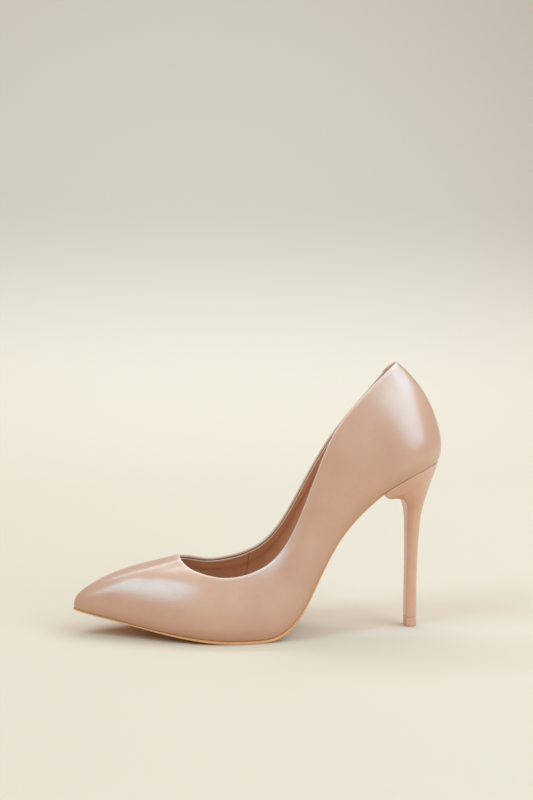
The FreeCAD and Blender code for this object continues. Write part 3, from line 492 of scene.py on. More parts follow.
class Insole:
    """Sheets that lie on the sole inside the feather line, as rows across it from toe to heel."""

    def __init__(self, inset, start=None, end=None):
        outer, inner = inset_outline(inset)
        start = max(outer[:, 0].min() + END_GAP, start or 0.0)
        end = min(outer[:, 0].max() - END_GAP, end or SHOE_LENGTH)
        turn = np.linspace(0.0, math.pi, INSOLE_ROWS)
        self.x = start + (end - start) * (1.0 - np.cos(turn)) / 2.0
        self.low = np.interp(self.x, outer[:, 0], outer[:, 1])
        self.high = np.interp(self.x, inner[:, 0], inner[:, 1])
        share = (1.0 - np.cos(np.linspace(0.0, math.pi, INSOLE_COLUMNS))) / 2.0
        self.y = self.low[:, None] + (self.high - self.low)[:, None] * share
        self.wide_x = np.broadcast_to(self.x[:, None], self.y.shape)

    def edge_distance(self, other):
        """Distance across the shoe from each point to the edge of this or another sheet."""
        low, high = np.interp(self.x, other.x, other.low), np.interp(self.x, other.x, other.high)
        return np.minimum(self.y - low[:, None], high[:, None] - self.y)

    def rows(self, lift):
        return sole_points(self.wide_x, self.y, lift)


# ---- meshes ----
def frame_shift():
    """From the toe-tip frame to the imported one: the tip's pin stands on the stem's axis."""
    low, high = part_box("heel_tip_pin")
    return np.array([(low.x + high.x) / 2.0 - STEM_X * MM, (low.y + high.y) / 2.0, 0.0])


SHIFT = frame_shift()


def to_frame(points):
    return np.asarray(points) * MM + SHIFT


def add_object(name, data):
    added = bpy.data.objects.new(name, data)
    bpy.context.scene.collection.objects.link(added)
    return added


def build(name, points, faces):
    mesh = bpy.data.meshes.new(name)
    mesh.from_pydata([tuple(p) for p in points], [], faces)
    piece = add_object(name, mesh)
    tidy_mesh(piece)
    return piece


def tidy_mesh(piece, change=None):
    """Makes a change, points the faces outwards and shades them smooth, but not across sharp edges."""
    work = bmesh.new()
    work.from_mesh(piece.data)
    if change:
        change(work)
    bmesh.ops.recalc_face_normals(work, faces=work.faces)
    work.to_mesh(piece.data)
    work.free()
    piece.data.shade_smooth()
    piece.data.set_sharp_from_angle(angle=math.radians(SHARP_ANGLE))


def grid_faces(count_rows, count, closed_round=False, closed_across=False):
    """Quads between rows of points."""
    quads = []
    for k in range(count_rows if closed_across else count_rows - 1):
        after = (k + 1) % count_rows
        for i in range(count if closed_round else count - 1):
            right = (i + 1) % count
            quads.append((k * count + i, k * count + right, after * count + right, after * count + i))
    return quads


def sheet_mesh(name, rows, closed_round=False, closed_across=False, end_caps=False, row_caps=False):
    """Mesh through rows of points, closed by a face along the rows' ends or on the first and last row."""
    rows = to_frame(np.array(rows))
    count_rows, count = rows.shape[:2]
    faces = grid_faces(count_rows, count, closed_round, closed_across)
    if end_caps:
        faces.append([k * count for k in range(count_rows)])
        faces.append([k * count + count - 1 for k in reversed(range(count_rows))])
    if row_caps:
        faces += [[start + i for i in range(count)] for start in (0, (count_rows - 1) * count)]
    return build(name, rows.reshape(-1, 3), faces)


def slab_mesh(name, outer, inner):
    """Closed sheet between two grids of points with the same rows."""
    outer, inner = np.array(outer), np.array(inner)
    count_rows, count = outer.shape[:2]
    size = count_rows * count
    faces = grid_faces(count_rows, count)
    faces += [[size + v for v in reversed(face)] for face in faces]
    rim = ([i for i in range(count)] + [k * count + count - 1 for k in range(1, count_rows)]
           + [size - 2 - i for i in range(count - 1)] + [k * count for k in range(count_rows - 2, 0, -1)])
    faces += [(b, a, size + a, size + b) for a, b in zip(rim, rim[1:] + rim[:1])]
    return build(name, to_frame(np.concatenate([outer, inner])).reshape(-1, 3), faces)


def bevel(piece, width, segments=2, angle=40.0):
    """Rounds the sharp edges. width is in millimetres."""
    bpy.context.view_layer.update()
    modifier = piece.modifiers.new("bevel", "BEVEL")
    modifier.width, modifier.segments = width * MM, segments
    modifier.limit_method, modifier.angle_limit = "ANGLE", math.radians(angle)
    rounded = piece.evaluated_get(bpy.context.evaluated_depsgraph_get())
    mesh = bpy.data.meshes.new_from_object(rounded)
    piece.modifiers.clear()
    piece.data = mesh
    tidy_mesh(piece)


def mark(piece, name, values):
    """Stores one number for each vertex, for a material to read."""
    layer = piece.data.attributes.new(name, "FLOAT", "POINT")
    layer.data.foreach_set("value", np.asarray(values, np.float32).ravel())


# ---- materials ----
class Finish:
    """A material whose patterns are in object space, so their scale is in repeats a metre."""

    def __init__(self, name, roughness, **sockets):
        self.material = bpy.data.materials.new(name)
        self.material.use_nodes = True
        self.tree = self.material.node_tree
        self.shader = self.tree.nodes["Principled BSDF"]
        self.shader.inputs["Roughness"].default_value = roughness
        for socket, value in sockets.items():
            self.shader.inputs[socket.replace("_", " ")].default_value = value
        self.place = self.node("TexCoord", "Object")

    def node(self, kind, output, inputs=None, **settings):
        """One output of a new node. An input is another node's output, a number, a vector (a tuple) or a
        colour (a list of three)."""
        node = self.tree.nodes.new("ShaderNode" + kind)
        for key, value in settings.items():
            setattr(node, key, value)
        for socket, value in (inputs or {}).items():
            if isinstance(value, bpy.types.NodeSocket):
                self.tree.links.new(value, node.inputs[socket])
            else:
                node.inputs[socket].default_value = (*value, 1.0) if isinstance(value, list) else value
        return node.outputs[output]

    def stretch(self, scale):
        """Object coordinates scaled differently along x, y and z."""
        return self.node("Mapping", "Vector", {"Vector": self.place, "Scale": scale})

    def noise(self, scale, detail=3.0, rough=0.5, place=None):
        return self.node("TexNoise", "Fac", {"Vector": place or self.place, "Scale": scale,
                                             "Detail": detail, "Roughness": rough})

    def cells(self, scale, feature="F1"):
        return self.node("TexVoronoi", "Distance", {"Vector": self.place, "Scale": scale}, feature=feature)

    def waves(self, scale, direction, place=None):
        return self.node("TexWave", "Fac", {"Vector": place or self.place, "Scale": scale},
                         bands_direction=direction)

    def mark(self, name):
        """The numbers that mark() stored on the mesh."""
        return self.node("Attribute", "Fac", attribute_name=name)

    def remap(self, value, band, to_low=0.0, to_high=1.0):
        return self.node("MapRange", "Result", {"Value": value, "From Min": band[0], "From Max": band[1],
                                                "To Min": to_low, "To Max": to_high},
                         interpolation_type="SMOOTHSTEP")

    def math(self, operation, first, second):
        return self.node("Math", 0, {0: first, 1: second}, operation=operation)

    def mix(self, share, first, second):
        return self.node("Mix", 2, {0: share, 6: first, 7: second}, data_type="RGBA")

    def bump(self, height, depth, under=None, strength=1.0):
        """Bump of a depth in metres, over another bump."""
        inputs = {"Height": height, "Distance": depth, "Strength": strength}
        return self.node("Bump", "Normal", inputs if under is None else {**inputs, "Normal": under})

    def finish(self, colour, normal, roughness=None):
        for socket, value in (("Base Color", colour), ("Normal", normal), ("Roughness", roughness)):
            if value is not None:
                self.tree.links.new(value, self.shader.inputs[socket])
        return self.material


def darker(tone, share):
    return [c * share for c in tone]


def leather(name, tone, shade, roughness, grain=1.0, spread=GLOSS_SPREAD, **sockets):
    """Smooth leather: fine pebbled grain, pores, faint unevenness and mottled colour."""
    made = Finish(name, roughness, **sockets)
    mottle = made.remap(made.noise(MOTTLE_SCALE, 4.0, 0.55), MOTTLE_BAND)
    pebbles = made.math("SUBTRACT", 1.0, made.cells(GRAIN_SCALE, "SMOOTH_F1"))
    normal = made.bump(made.noise(WAVE_SCALE, 2.0), WAVE_DEPTH, strength=WAVE_STRENGTH)
    normal = made.bump(pebbles, GRAIN_DEPTH * grain, normal)
    normal = made.bump(made.noise(PORE_SCALE, 2.0), PORE_DEPTH * grain, normal)
    gloss = made.remap(made.noise(GLOSS_SCALE), NOISE_BAND, roughness - spread, roughness + spread)
    return made, made.mix(mottle, shade, tone), normal, gloss


def nude_leather(name, tone, shade):
    """The upper's leather, with a painted highlight along its folded rim and painted warm shade, standing for
    floor bounce, low down where it is pulled under.
    """
    made, colour, normal, gloss = leather(name, tone, shade, LEATHER_ROUGHNESS, 1.0, NUDE_GLOSS_SPREAD,
                                          Specular_IOR_Level=LEATHER_SHINE, Coat_Weight=LEATHER_COAT,
                                          Coat_Roughness=COAT_ROUGHNESS)
    # The rim mark paints a highlight, the foot mark paints warm shade from floor bounce, and the seam mark
    # darkens the back seam's line.
    for band, strength, tint in (("rim", RIM_HIGHLIGHT_SHARE, RIM_HIGHLIGHT_TONE), ("foot", FOOT_SHADE_SHARE, FOOT_BOUNCE_SHADE_TONE),
                                 ("seam", SEAM_DARK, SEAM_TONE)):
        colour = made.mix(made.math("MULTIPLY", made.mark(band), strength), colour, tint)
    return made.finish(colour, normal, gloss)


def lining_leather():
    """Matt lining leather with a pale raw edge along the topline."""
    made, colour, normal, gloss = leather("lining_leather_look", LINING_TONE, LINING_SHADE,
                                          LINING_ROUGHNESS, LINING_GRAIN)
    nap = made.noise(NAP_SCALE, 4.0, 0.65)
    colour = made.mix(made.remap(nap, NAP_BAND, 0.0, NAP_SHADE), colour, LINING_SHADE)
    colour = made.mix(made.mark("raw_edge"), colour, RAW_EDGE_TONE)
    return made.finish(colour, made.bump(nap, NAP_DEPTH, normal), gloss)


def sock_leather():
    made, *outputs = leather("sock_leather_look", SOCK_TONE, SOCK_SHADE, SOCK_ROUGHNESS, SOCK_GRAIN)
    return made.finish(*outputs)


def sole_leather():
    """Sole with a streaked, painted edge, a darker channel and a scuffed tread."""
    made, colour, normal, gloss = leather("sole_leather_look", SOLE_TONE, SOLE_SHADE,
                                          SOLE_ROUGHNESS, SOLE_GRAIN)
    fibres = made.noise(1.0, 3.0, 0.6, made.stretch(FIBRE_STRETCH))
    streaks = made.remap(fibres, FIBRE_BAND, 0.0, FIBRE_SHADE)
    colour = made.mix(made.mark("edge"), colour, made.mix(streaks, EDGE_TONE, EDGE_SHADE))
    colour = made.mix(made.mark("channel"), colour, EDGE_SHADE)
    scuffs = made.noise(1.0, 4.0, 0.6, made.stretch(SCUFF_STRETCH))
    colour = made.mix(made.remap(scuffs, SCUFF_BAND, 0.0, SCUFF_SHADE), colour, SOLE_SCUFF_TONE)
    return made.finish(colour, made.bump(fibres, FIBRE_DEPTH, normal), gloss)


def thread():
    """Twisted polyester thread."""
    made = Finish("thread_look", 0.48, Sheen_Weight=0.3)
    twist = made.waves(1.0, "DIAGONAL", made.stretch((TWIST_SCALE,) * 3))
    colour = made.mix(twist, THREAD_TONE, darker(THREAD_TONE, TWIST_SHADE))
    return made.finish(colour, made.bump(twist, TWIST_DEPTH))


def board(name, tone, shade, scale):
    """Pressed fibre board with flecks."""
    made = Finish(name, 0.82)
    fibres = made.noise(scale, 6.0, 0.7)
    flecks = made.remap(made.noise(scale * 3.0, 2.0), FLECK_BAND)
    colour = made.mix(made.remap(fibres, NOISE_BAND), shade, tone)
    return made.finish(made.mix(flecks, colour, darker(shade, 0.5)), made.bump(fibres, BOARD_DEPTH))


def foam():
    """Open-celled latex foam."""
    made = Finish("foam_look", 0.88, Sheen_Weight=0.2)
    holes = made.remap(made.cells(FOAM_SCALE), FOAM_BAND)
    colour = made.mix(holes, darker(FOAM_TONE, FOAM_SHADE), FOAM_TONE)
    return made.finish(colour, made.bump(holes, FOAM_DEPTH))


def woven(name, tone, pitch):
    """Plain weave: two crossing sets of threads."""
    made = Finish(name, 0.7, Sheen_Weight=0.35)
    weave = made.math("MAXIMUM", made.waves(pitch, "X"), made.waves(pitch, "Z"))
    return made.finish(made.mix(weave, darker(tone, WEAVE_SHADE), tone), made.bump(weave, WEAVE_DEPTH))


def plastic(name, tone, roughness, texture):
    """Moulded plastic with a fine spark-eroded texture and faint flow marks."""
    made = Finish(name, roughness)
    grain = made.noise(texture, 3.0, 0.6)
    flow = made.remap(made.noise(FLOW_SCALE), NOISE_BAND, 0.0, FLOW_SHARE)
    rough = made.remap(grain, NOISE_BAND, roughness - 0.06, roughness + 0.08)
    return made.finish(made.mix(flow, tone, darker(tone, FLOW_SHADE)), made.bump(grain, SPARK_DEPTH), rough)


def metal(name, tone, roughness, brushed):
    """Rolled or plated steel, brushed along the shoe."""
    made = Finish(name, roughness, Metallic=1.0)
    lines = made.noise(1.0, 4.0, 0.6, made.stretch((BRUSH_ALONG, brushed, brushed)))
    colour = made.mix(made.remap(lines, NOISE_BAND), darker(tone, BRUSH_SHADE), tone)
    rough = made.remap(lines, NOISE_BAND, roughness - 0.08, roughness + 0.1)
    return made.finish(colour, made.bump(lines, BRUSH_DEPTH), rough)


def paper():
    """Studio paper, with painted shade that darkens it up the wall."""
    made = Finish("paper_look", PAPER_ROUGHNESS)
    mottle = made.remap(made.noise(PAPER_SCALE), NOISE_BAND, 0.0, PAPER_MOTTLE)
    colour = made.mix(mottle, PAPER_TONE, darker(PAPER_TONE, PAPER_SHADE))
    height = made.node("SeparateXYZ", "Z", {0: made.place})
    # Painted shade: the paper darkens with height, standing for the lamps' falloff.
    colour = made.mix(made.remap(height, PAPER_HIGH_SHADE_BAND), colour, darker(PAPER_TONE, PAPER_HIGH_SHADE))
    return made.finish(colour, made.bump(made.noise(PAPER_GRAIN), SPARK_DEPTH))


def dress(piece, material):
    """Gives the whole piece one material."""
    if piece.material_slots:
        for slot in piece.material_slots:
            slot.material = material
    else:
        piece.data.materials.append(material)


def place_piece(piece, material, node=None, body="shoe"):
    """Lets a piece ride on a body, stand for a CAD node if it has one, and take its material."""
    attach(piece, body)
    if node:
        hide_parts(node)
    dress(piece, material)


# ---- the upper ----
def heights_up_wall(wall):
    """Fractions of the way up the wall, close together where it turns under at the foot."""
    mean_length = float(wall.length.mean())
    rest = np.linspace(FOOT_ROWS_END / mean_length, 1.0, WALL_ROWS)
    return [height / mean_length for height in FOOT_HEIGHTS] + list(rest)


def tuck(wall, t):
    """How far the leather turns in where it is pulled under at the foot."""
    up = np.clip(1.0 - t * wall.length / TUCK_HEIGHT, 0.0, 1.0)
    return TUCK_DEPTH * up * up


def seam_shape(distance):
    """Depth of the closed back seam at a distance from its line, in millimetres."""
    groove = SEAM_DEPTH * np.exp(-(distance / GROOVE_WIDTH) ** 2)
    ridges = SEAM_RIDGE * np.exp(-((np.abs(distance) - RIDGE_PLACE) / RIDGE_WIDTH) ** 2)
    return groove - ridges


def seam_distance(wall, t):
    """Distance from the back seam round the shoe, in millimetres."""
    gap = np.mod(wall.s - SEAM_PLACE + 0.5, 1.0) - 0.5
    pace = np.linalg.norm(wall.after.point(t) - wall.before.point(t), axis=1) / (2.0 * NUDGE)
    return gap * pace


def loop_places():
    """Places round the shoe, close together at the back seam."""
    even = np.arange(LOOP_STEPS) / LOOP_STEPS
    near = np.linspace(-SEAM_SPAN, SEAM_SPAN, SEAM_STEPS) ** 3 / SEAM_SPAN ** 2
    even = even[loop_distance(even, SEAM_PLACE % 1.0) > SEAM_SPAN]
    return np.sort(np.mod(np.concatenate([even, SEAM_PLACE + near]), 1.0))


def margin_rows(wall, lift, shares):
    """Rows on the lasting margin, from the feather line towards the middle."""
    foot = wall.foot[:, :2]
    across = np.stack([np.clip(foot[:, 0], SPINE_START, SPINE_END), 0.0 * foot[:, 1]], -1) - foot
    reach = np.linalg.norm(across, axis=1)
    width = MARGIN_WIDTH * np.tanh(MARGIN_SHARE * reach / MARGIN_WIDTH)
    plans = [foot + across * (width / reach * share)[:, None] for share in shares]
    return [sole_points(plan[:, 0], plan[:, 1], np.full(len(plan), lift)) for plan in plans]


def make_upper():
    """The upper in one skin: outside, rolled rim, folded allowance, inside and lasting margin."""
    wall = Wall(loop_places())

    def outside(t):
        seam = seam_shape(seam_distance(wall, t)) * ramp(t * wall.length, 0.0, SEAM_FADE)
        return wall.at(t, tuck(wall, t) + seam)

    def over(turn):
        side_in = math.sin(turn / 2.0) ** 2
        seam = seam_shape(seam_distance(wall, 1.0)) * (1.0 - side_in)
        return wall.over_top(turn, 0.0, RIM, RIM / 2.0) + wall.inward(1.0) * seam[:, None]

    heights = heights_up_wall(wall)
    low, high = UPPER / wall.length, 1.0 - FOLD_CREASE / wall.length
    rows = [outside(t) for t in heights]
    rows += [over(math.pi * k / RIM_STEPS) for k in range(1, RIM_STEPS)]
    rows += [wall.below_top(drop, RIM) for drop in np.linspace(0.0, FOLD_DEPTH, FOLD_ROWS)]
    rows += [wall.below_top(drop, FOLD_START) for drop in np.linspace(FOLD_DEPTH, FOLD_CREASE, FOLD_ROWS)]
    rows += [wall.at(low + (high - low) * share, UPPER) for share in np.linspace(1.0, 0.0, WALL_ROWS // 2)]
    rows += margin_rows(wall, UPPER, MARGIN_INSIDE) + margin_rows(wall, 0.0, MARGIN_UNDER)
    piece = sheet_mesh("upper_leather", rows, True, True)
    # rim holds the painted highlight, foot the painted warm shade near the sole, seam the back seam's darker
    # line.
    rim, foot, seam = np.zeros((3, len(rows), len(wall.s)))      # where the leather is toned
    for k, t in enumerate(heights):
        rim[k] = ramp(-(1.0 - t) * wall.length, -RIM_HIGHLIGHT_BAND, 0.0)
        foot[k] = 1.0 - ramp(t * wall.length, 0.0, FOOT_SHADE_BAND)
        seam[k] = np.exp(-(seam_distance(wall, t) / SEAM_LINE) ** 2)
    rim[len(heights):len(heights) + RIM_STEPS] = 1.0
    mark(piece, "rim", rim)
    mark(piece, "foot", foot)
    mark(piece, "seam", seam)
    look = nude_leather("upper_leather_look", LEATHER_TONE, LEATHER_SHADE)
    place_piece(piece, look, "upper")


# ---- linings and the topline's trim ----
def stretch_of_wall(ends, spacing=1.0 / LOOP_STEPS):
    count = round((ends[1] - ends[0]) / spacing)
    return Wall(np.linspace(ends[0], ends[1], count + 1))


def make_lining(name, node, ends, look):
    """Lining of the vamp or of the quarters, with its trimmed edge below the topline."""
    wall = stretch_of_wall(ends)
    low, high = WALL_FACE / wall.length, 1.0 - LINING_DROP / wall.length
    outer, inner, raw = [], [], []
    for share in np.concatenate([np.linspace(*part) for part in LINING_ROWS]):
        t = low + (high - low) * share
        face = WALL_FACE + packing(wall, t)
        drop = (high - t) * wall.length
        rounding = LINING_ROUND * np.clip(1.0 - drop / LINING_ROUND_REACH, 0.0, 1.0) ** 2
        outer.append(wall.at(t, face + rounding / 2.0))
        inner.append(wall.at(t, face + LINING - rounding))
        raw.append(1.0 - ramp(drop, *RAW_EDGE))
    piece = slab_mesh(name, outer, inner)
    mark(piece, "raw_edge", [raw, raw])
    place_piece(piece, look, node)


def make_thread(name, starts, ends, radius, look):
    """Stitches as small capsules, each from its start to its end."""
    points, faces = [], []
    for start, end in zip(starts, ends):
        start, end = Vector(start), Vector(end)
        along = (end - start).normalized()
        side = along.cross(STITCH_SIDEWAYS).normalized()
        other = along.cross(side)
        middle, half = (start + end) / 2.0, (end - start).length / 2.0
        base = len(points)
        for reach, width in STITCH_RINGS:
            for i in range(STITCH_SIDES):
                turn = 2.0 * math.pi * i / STITCH_SIDES
                ring = (side * math.cos(turn) + other * math.sin(turn)) * (radius * width)
                points.append(middle + along * (half * reach) + ring)
        faces += [[base + v for v in face] for face in grid_faces(len(STITCH_RINGS), STITCH_SIDES, True)]
        faces += [[first + i for i in range(STITCH_SIDES)] for first in (base, len(points) - STITCH_SIDES)]
    piece = build(name, to_frame([tuple(p) for p in points]), faces)
    place_piece(piece, look)


def make_topline_stitching(look):
    """The row of stitches that holds the lining's edge to the folded topline."""
    fine = Wall(np.arange(FINE_STEPS) / FINE_STEPS)
    line = fine.below_top(STITCH_DROP, RIM + STITCH_RADIUS * STITCH_PROUD)
    run = np.concatenate([[0.0], np.cumsum(np.linalg.norm(np.roll(line, -1, 0) - line, axis=1))])
    count = round(run[-1] / STITCH_PITCH)
    pitch = run[-1] / count
    closed = np.concatenate([line, line[:1]])

    def at(distance):
        return np.stack([np.interp(distance, run, closed[:, k]) for k in range(3)], -1)

    first = np.arange(count) * pitch
    make_thread("topline_thread", at(first), at(first + pitch * STITCH_SHARE), STITCH_RADIUS, look)


def make_back_tab(look, thread_look):
    """Leather tab folded over the topline beside the back seam, with a zigzag across its outer end."""
    wall = stretch_of_wall(TAB_PLACES, TAB_SPACING)

    def rows(lift):
        outer, inner, height = -GLUE - lift, RIM + GLUE + LINING + TAB_CLEAR + lift, RIM / 2.0 + GLUE + lift
        drops = np.linspace(TAB_DROP, TAB_TURN_DROP, TAB_ROWS)
        turns = [math.pi * k / TAB_TURNS for k in range(TAB_TURNS + 1)]
        return ([wall.below_top(drop, outer) for drop in drops]
                + [wall.over_top(turn, outer, inner - outer, height) for turn in turns]
                + [wall.below_top(drop, inner) for drop in drops[::-1]])

    piece = slab_mesh("back_tab_leather", rows(TAB), rows(0.0))
    bevel(piece, TAB_ROUND)
    place_piece(piece, look, "back_tab")
    points = []
    for k, share in enumerate(np.linspace(*ZIGZAG_ENDS, ZIGZAG_POINTS)):
        station = Wall([TAB_PLACES[0] + (TAB_PLACES[1] - TAB_PLACES[0]) * share])
        points.append(station.below_top(TAB_DROP - ZIGZAG_DROPS[k % 2], -GLUE - TAB - ZIGZAG_LIFT)[0])
    make_thread("tab_thread", points[:-1], points[1:], ZIGZAG_RADIUS, thread_look)


# ---- the bottom ----
def soft_edge(distance):
    """Share of a pad's thickness at a distance from the edge of the sheet over it."""
    return ramp(distance, *PAD_EDGE)


def pad_thickness(x):
    return FOREPART_PAD * hump(x, FOREPART_PAD_RAMPS) + HEEL_PAD * hump(x, HEEL_PAD_RAMPS)


def make_sock():
    """Sock lining, crowned over the pads and turned down at its edge."""
    sheet = Insole(SOCK_INSET)
    edge = sheet.edge_distance(sheet)
    under = pad_low(sheet.wide_x) + pad_thickness(sheet.wide_x) * soft_edge(edge) + GLUE
    turned = SOCK_TURN * (1.0 - ramp(edge, 0.0, SOCK_TURN_WIDTH))
    piece = slab_mesh("sock_leather", sheet.rows(under + SOCK - turned), sheet.rows(under))
    place_piece(piece, sock_leather(), "sock_lining")


def make_pad(name, node, ends, inset, look):
    """Foam pad under the sock, swollen in its middle."""
    sheet = Insole(inset - PAD_OVERLAP, *ends)
    thick = pad_thickness(sheet.wide_x) * soft_edge(sheet.edge_distance(Insole(SOCK_INSET))) - PAD_FEATHER
    low = pad_low(sheet.wide_x)
    piece = slab_mesh(name, sheet.rows(low + np.maximum(thick, PAD_FEATHER)), sheet.rows(low))
    place_piece(piece, look, node)


def sole_ends():
    """Places where the outsole stops at the heel's breast, on the outer and on the inner side."""
    s = np.linspace(0.0, 1.0, OUTLINE_SAMPLES)
    x = row_points(s)[:, 0, 0]
    half = OUTLINE_SAMPLES // 2
    return np.interp(-SOLE_END, -x[:half], s[:half]), np.interp(SOLE_END, x[half:-1], s[half:-1])


def make_outsole():
    """Outsole with a rounded, painted edge and a channel cut round its tread."""
    wall = stretch_of_wall(sole_ends(), SOLE_SPACING)
    foot = wall.foot[:, :2]
    along = wall.after.points[:, 0, :2] - wall.before.points[:, 0, :2]
    inward = unit(np.stack([along[:, 1], -along[:, 0]], -1))
    tucked = ramp(foot[:, 0], TUCK_START, TUCK_END)
    edge = foot + inward * (-OUTSOLE_PROUD + (OUTSOLE_PROUD + OUTSOLE_TUCK) * tucked)[:, None]
    both_sides = (foot[:, 0] + foot[::-1, 0]) / 2.0
    low = -OUTSOLE + (OUTSOLE - OUTSOLE_WAIST) * ramp(both_sides, TUCK_START, WAIST_END)
    low = low + (OUTSOLE - OUTSOLE_TOE) * (1.0 - ramp(both_sides, TOE_SKIVE_START, TREAD_FRONT))
    top = np.full(len(low), -GLUE)
    spine = np.stack([np.clip(both_sides, SPINE_START, SOLE_END), 0.0 * both_sides], -1)

    def inside(distance, lift, share=0.0):
        """Points at a distance from the edge, moved a share of the way to the spine."""
        plan = edge + inward * np.reshape(distance, (-1, 1))
        plan = plan + (spine - plan) * share
        return sole_points(plan[:, 0], plan[:, 1], lift)

    round_top = np.minimum(EDGE_ROUND, TOP_ROUND_SHARE * (top - low))
    round_low = np.minimum(EDGE_ROUND_LOW, LOW_ROUND_SHARE * (top - low))
    turns = [math.pi / 2.0 * k / EDGE_STEPS for k in range(EDGE_STEPS + 1)]
    rows = [inside(CHANNEL[-1][0], top, share) for share in SOLE_TOP_SHARES] + [inside(SOLE_TOP_EDGE, top)]
    edge_first = len(rows)
    rows += [inside(round_top * (1.0 - math.sin(turn)), top - round_top * (1.0 - math.cos(turn)))
             for turn in turns]
    rows.append(inside(0.0, (top + low) / 2.0))
    rows += [inside(round_low * (1.0 - math.cos(turn)), low + round_low * (1.0 - math.sin(turn)))
             for turn in turns]
    edge_last = len(rows)
    rows += [inside(distance, low + depth) for distance, depth in CHANNEL]
    rows += [inside(CHANNEL[-1][0], low, share) for share in SOLE_LOW_SHARES]
    piece = sheet_mesh("outsole_leather", rows, end_caps=True)
    painted, cut = np.zeros((2, len(rows), len(low)))
    painted[edge_first:edge_last] = 1.0
    cut[edge_last + 1:edge_last + len(CHANNEL) - 1] = 1.0
    mark(piece, "edge", painted)
    mark(piece, "channel", cut)
    tidy_mesh(piece, lambda work: bmesh.ops.remove_doubles(work, verts=work.verts, dist=SPINE_WELD * MM))
    place_piece(piece, sole_leather(), "outsole")


# ---- the heel ----
def outline_shares():
    turns = [math.pi / 2.0 * step / OUTLINE_STEPS for step in range(OUTLINE_STEPS)]
    return [0.0] + [ROUND_START + (1.0 - ROUND_START) * math.sin(turn) for turn in turns]


def seat_outline(inset, cap):
    """The seat's outline on the feather line, or in a flat plane above it."""
    x = SEAT_FRONT + (SEAT_BACK - SEAT_FRONT) * np.array(outline_shares())
    low, high = (np.stack([x, np.interp(x, *side.T)], -1) for side in inset_outline(0.0))
    points = np.concatenate([low, [WALL_RIBS[0][0]], high[::-1]])
    middle = np.array([(SEAT_FRONT + SEAT_BACK) / 2.0, 0.0])
    points = points + unit(middle - points) * inset
    height = sole_height(points[:, 0]) - GLUE
    if cap:
        start, end = sole_height(SEAT_FRONT), sole_height(SEAT_BACK)
        height = start + (end - start) * (points[:, 0] - SEAT_FRONT) / (SEAT_BACK - SEAT_FRONT) + SEAT_CAP
    return np.concatenate([points, height[:, None]], 1)


def heel_outline(section, inset):
    """D-shaped outline in the plane of the section's own slope: points round the side and the back."""
    (front_x, front_z), (back_x, back_z), front_half, widest = section
    front, back = np.array([front_x, 0.0, front_z]), np.array([back_x, 0.0, back_z])
    deep = unit(back - front)
    front, back = front + deep * inset, back - deep * inset
    length = np.linalg.norm(back - front)
    turns = math.pi / 2.0 * np.arange(OUTLINE_STEPS) / OUTLINE_STEPS
    half = np.append(front_half - inset, (widest - inset) * np.cos(turns))
    side = front + deep * (length * np.array(outline_shares())[:, None]) - half[:, None] * [0.0, 1.0, 0.0]
    return np.concatenate([side, back[None], (side * [1.0, -1.0, 1.0])[::-1]])


def heel_rows(inset):
    """Fine rows down the heel, each a closed loop round its side, back and front."""
    outlines = np.array([seat_outline(inset, True), seat_outline(inset, False)]
                        + [heel_outline(section, inset) for section in HEEL_SECTIONS])
    back = outlines.shape[1] // 2
    steps = np.linalg.norm(np.diff(outlines[:, [0, back]], axis=0), axis=2).sum(1)
    places = np.concatenate([[0.0], np.cumsum(steps)]) / steps.sum()
    flat = outlines.reshape(len(outlines), -1)
    at = np.linspace(places[1], 1.0, HEEL_ROWS)
    rows = hermite(places, flat, spline_slopes(places, flat), at).reshape(HEEL_ROWS, -1, 3)
    return [loop_round(row) for row in rows]


def loop_round(outline):
    """A closed, smooth loop through an outline: its side and back, then straight across its front."""
    side = through(outline, np.linspace(0.0, 1.0, HEEL_COLUMNS))
    across = np.linspace(0.0, 1.0, FRONT_COLUMNS)[1:-1, None]
    return np.concatenate([side, side[-1] + (side[0] - side[-1]) * across])


def make_heel_cover():
    """Leather wrapped round the heel: a thin shell, with rounded corners at its flat front."""
    rows = heel_rows(0.0) + heel_rows(HEEL_COVER)[::-1]
    piece = sheet_mesh("heel_cover_leather", rows, True, True)
    bevel(piece, HEEL_CORNER, BEVEL_STEPS, BEVEL_ANGLE)
    place_piece(piece, nude_leather("heel_leather_look", HEEL_TONE, HEEL_SHADE), "heel_cover")


def make_tip():
    """Wear tip with rounded edges, on the outline of the stem's end."""
    rows = []
    for height, inset in TIP_LEVELS:
        row = loop_round(heel_outline(HEEL_SECTIONS[-1], inset))
        row[:, 2] = height
        rows.append(row)
    piece = sheet_mesh("heel_tip_moulding", rows, True, row_caps=True)
    bevel(piece, TIP_CORNER, BEVEL_STEPS, BEVEL_ANGLE)
    look = plastic("tip_look", TIP_TONE, 0.42, 900.0)
    place_piece(piece, look, "heel_tip", "wear_tip")


# ---- the studio ----
def make_camera():
    camera = add_object("camera", bpy.data.cameras.new("camera"))
    camera.data.lens, camera.data.sensor_width = CAMERA_LENS, CAMERA_SENSOR
    turn, down = math.radians(CAMERA_TURN), math.radians(CAMERA_DOWN)
    look = Vector((math.sin(turn) * math.cos(down), math.cos(turn) * math.cos(down), -math.sin(down)))
    camera.location = CAMERA_PLACE
    camera.rotation_euler = look.to_track_quat("-Z", "Y").to_euler()
    bpy.context.scene.camera = camera


def area_light(name, place, target, size, power, tone):
    """Rectangular light at a place, facing a target."""
    light = bpy.data.lights.new(name, "AREA")
    light.shape = "RECTANGLE"
    light.size, light.size_y = size
    light.energy, light.color = power, tone
    lamp = add_object(name, light)
    lamp.location = place
    lamp.rotation_euler = (target - place).to_track_quat("-Z", "Y").to_euler()


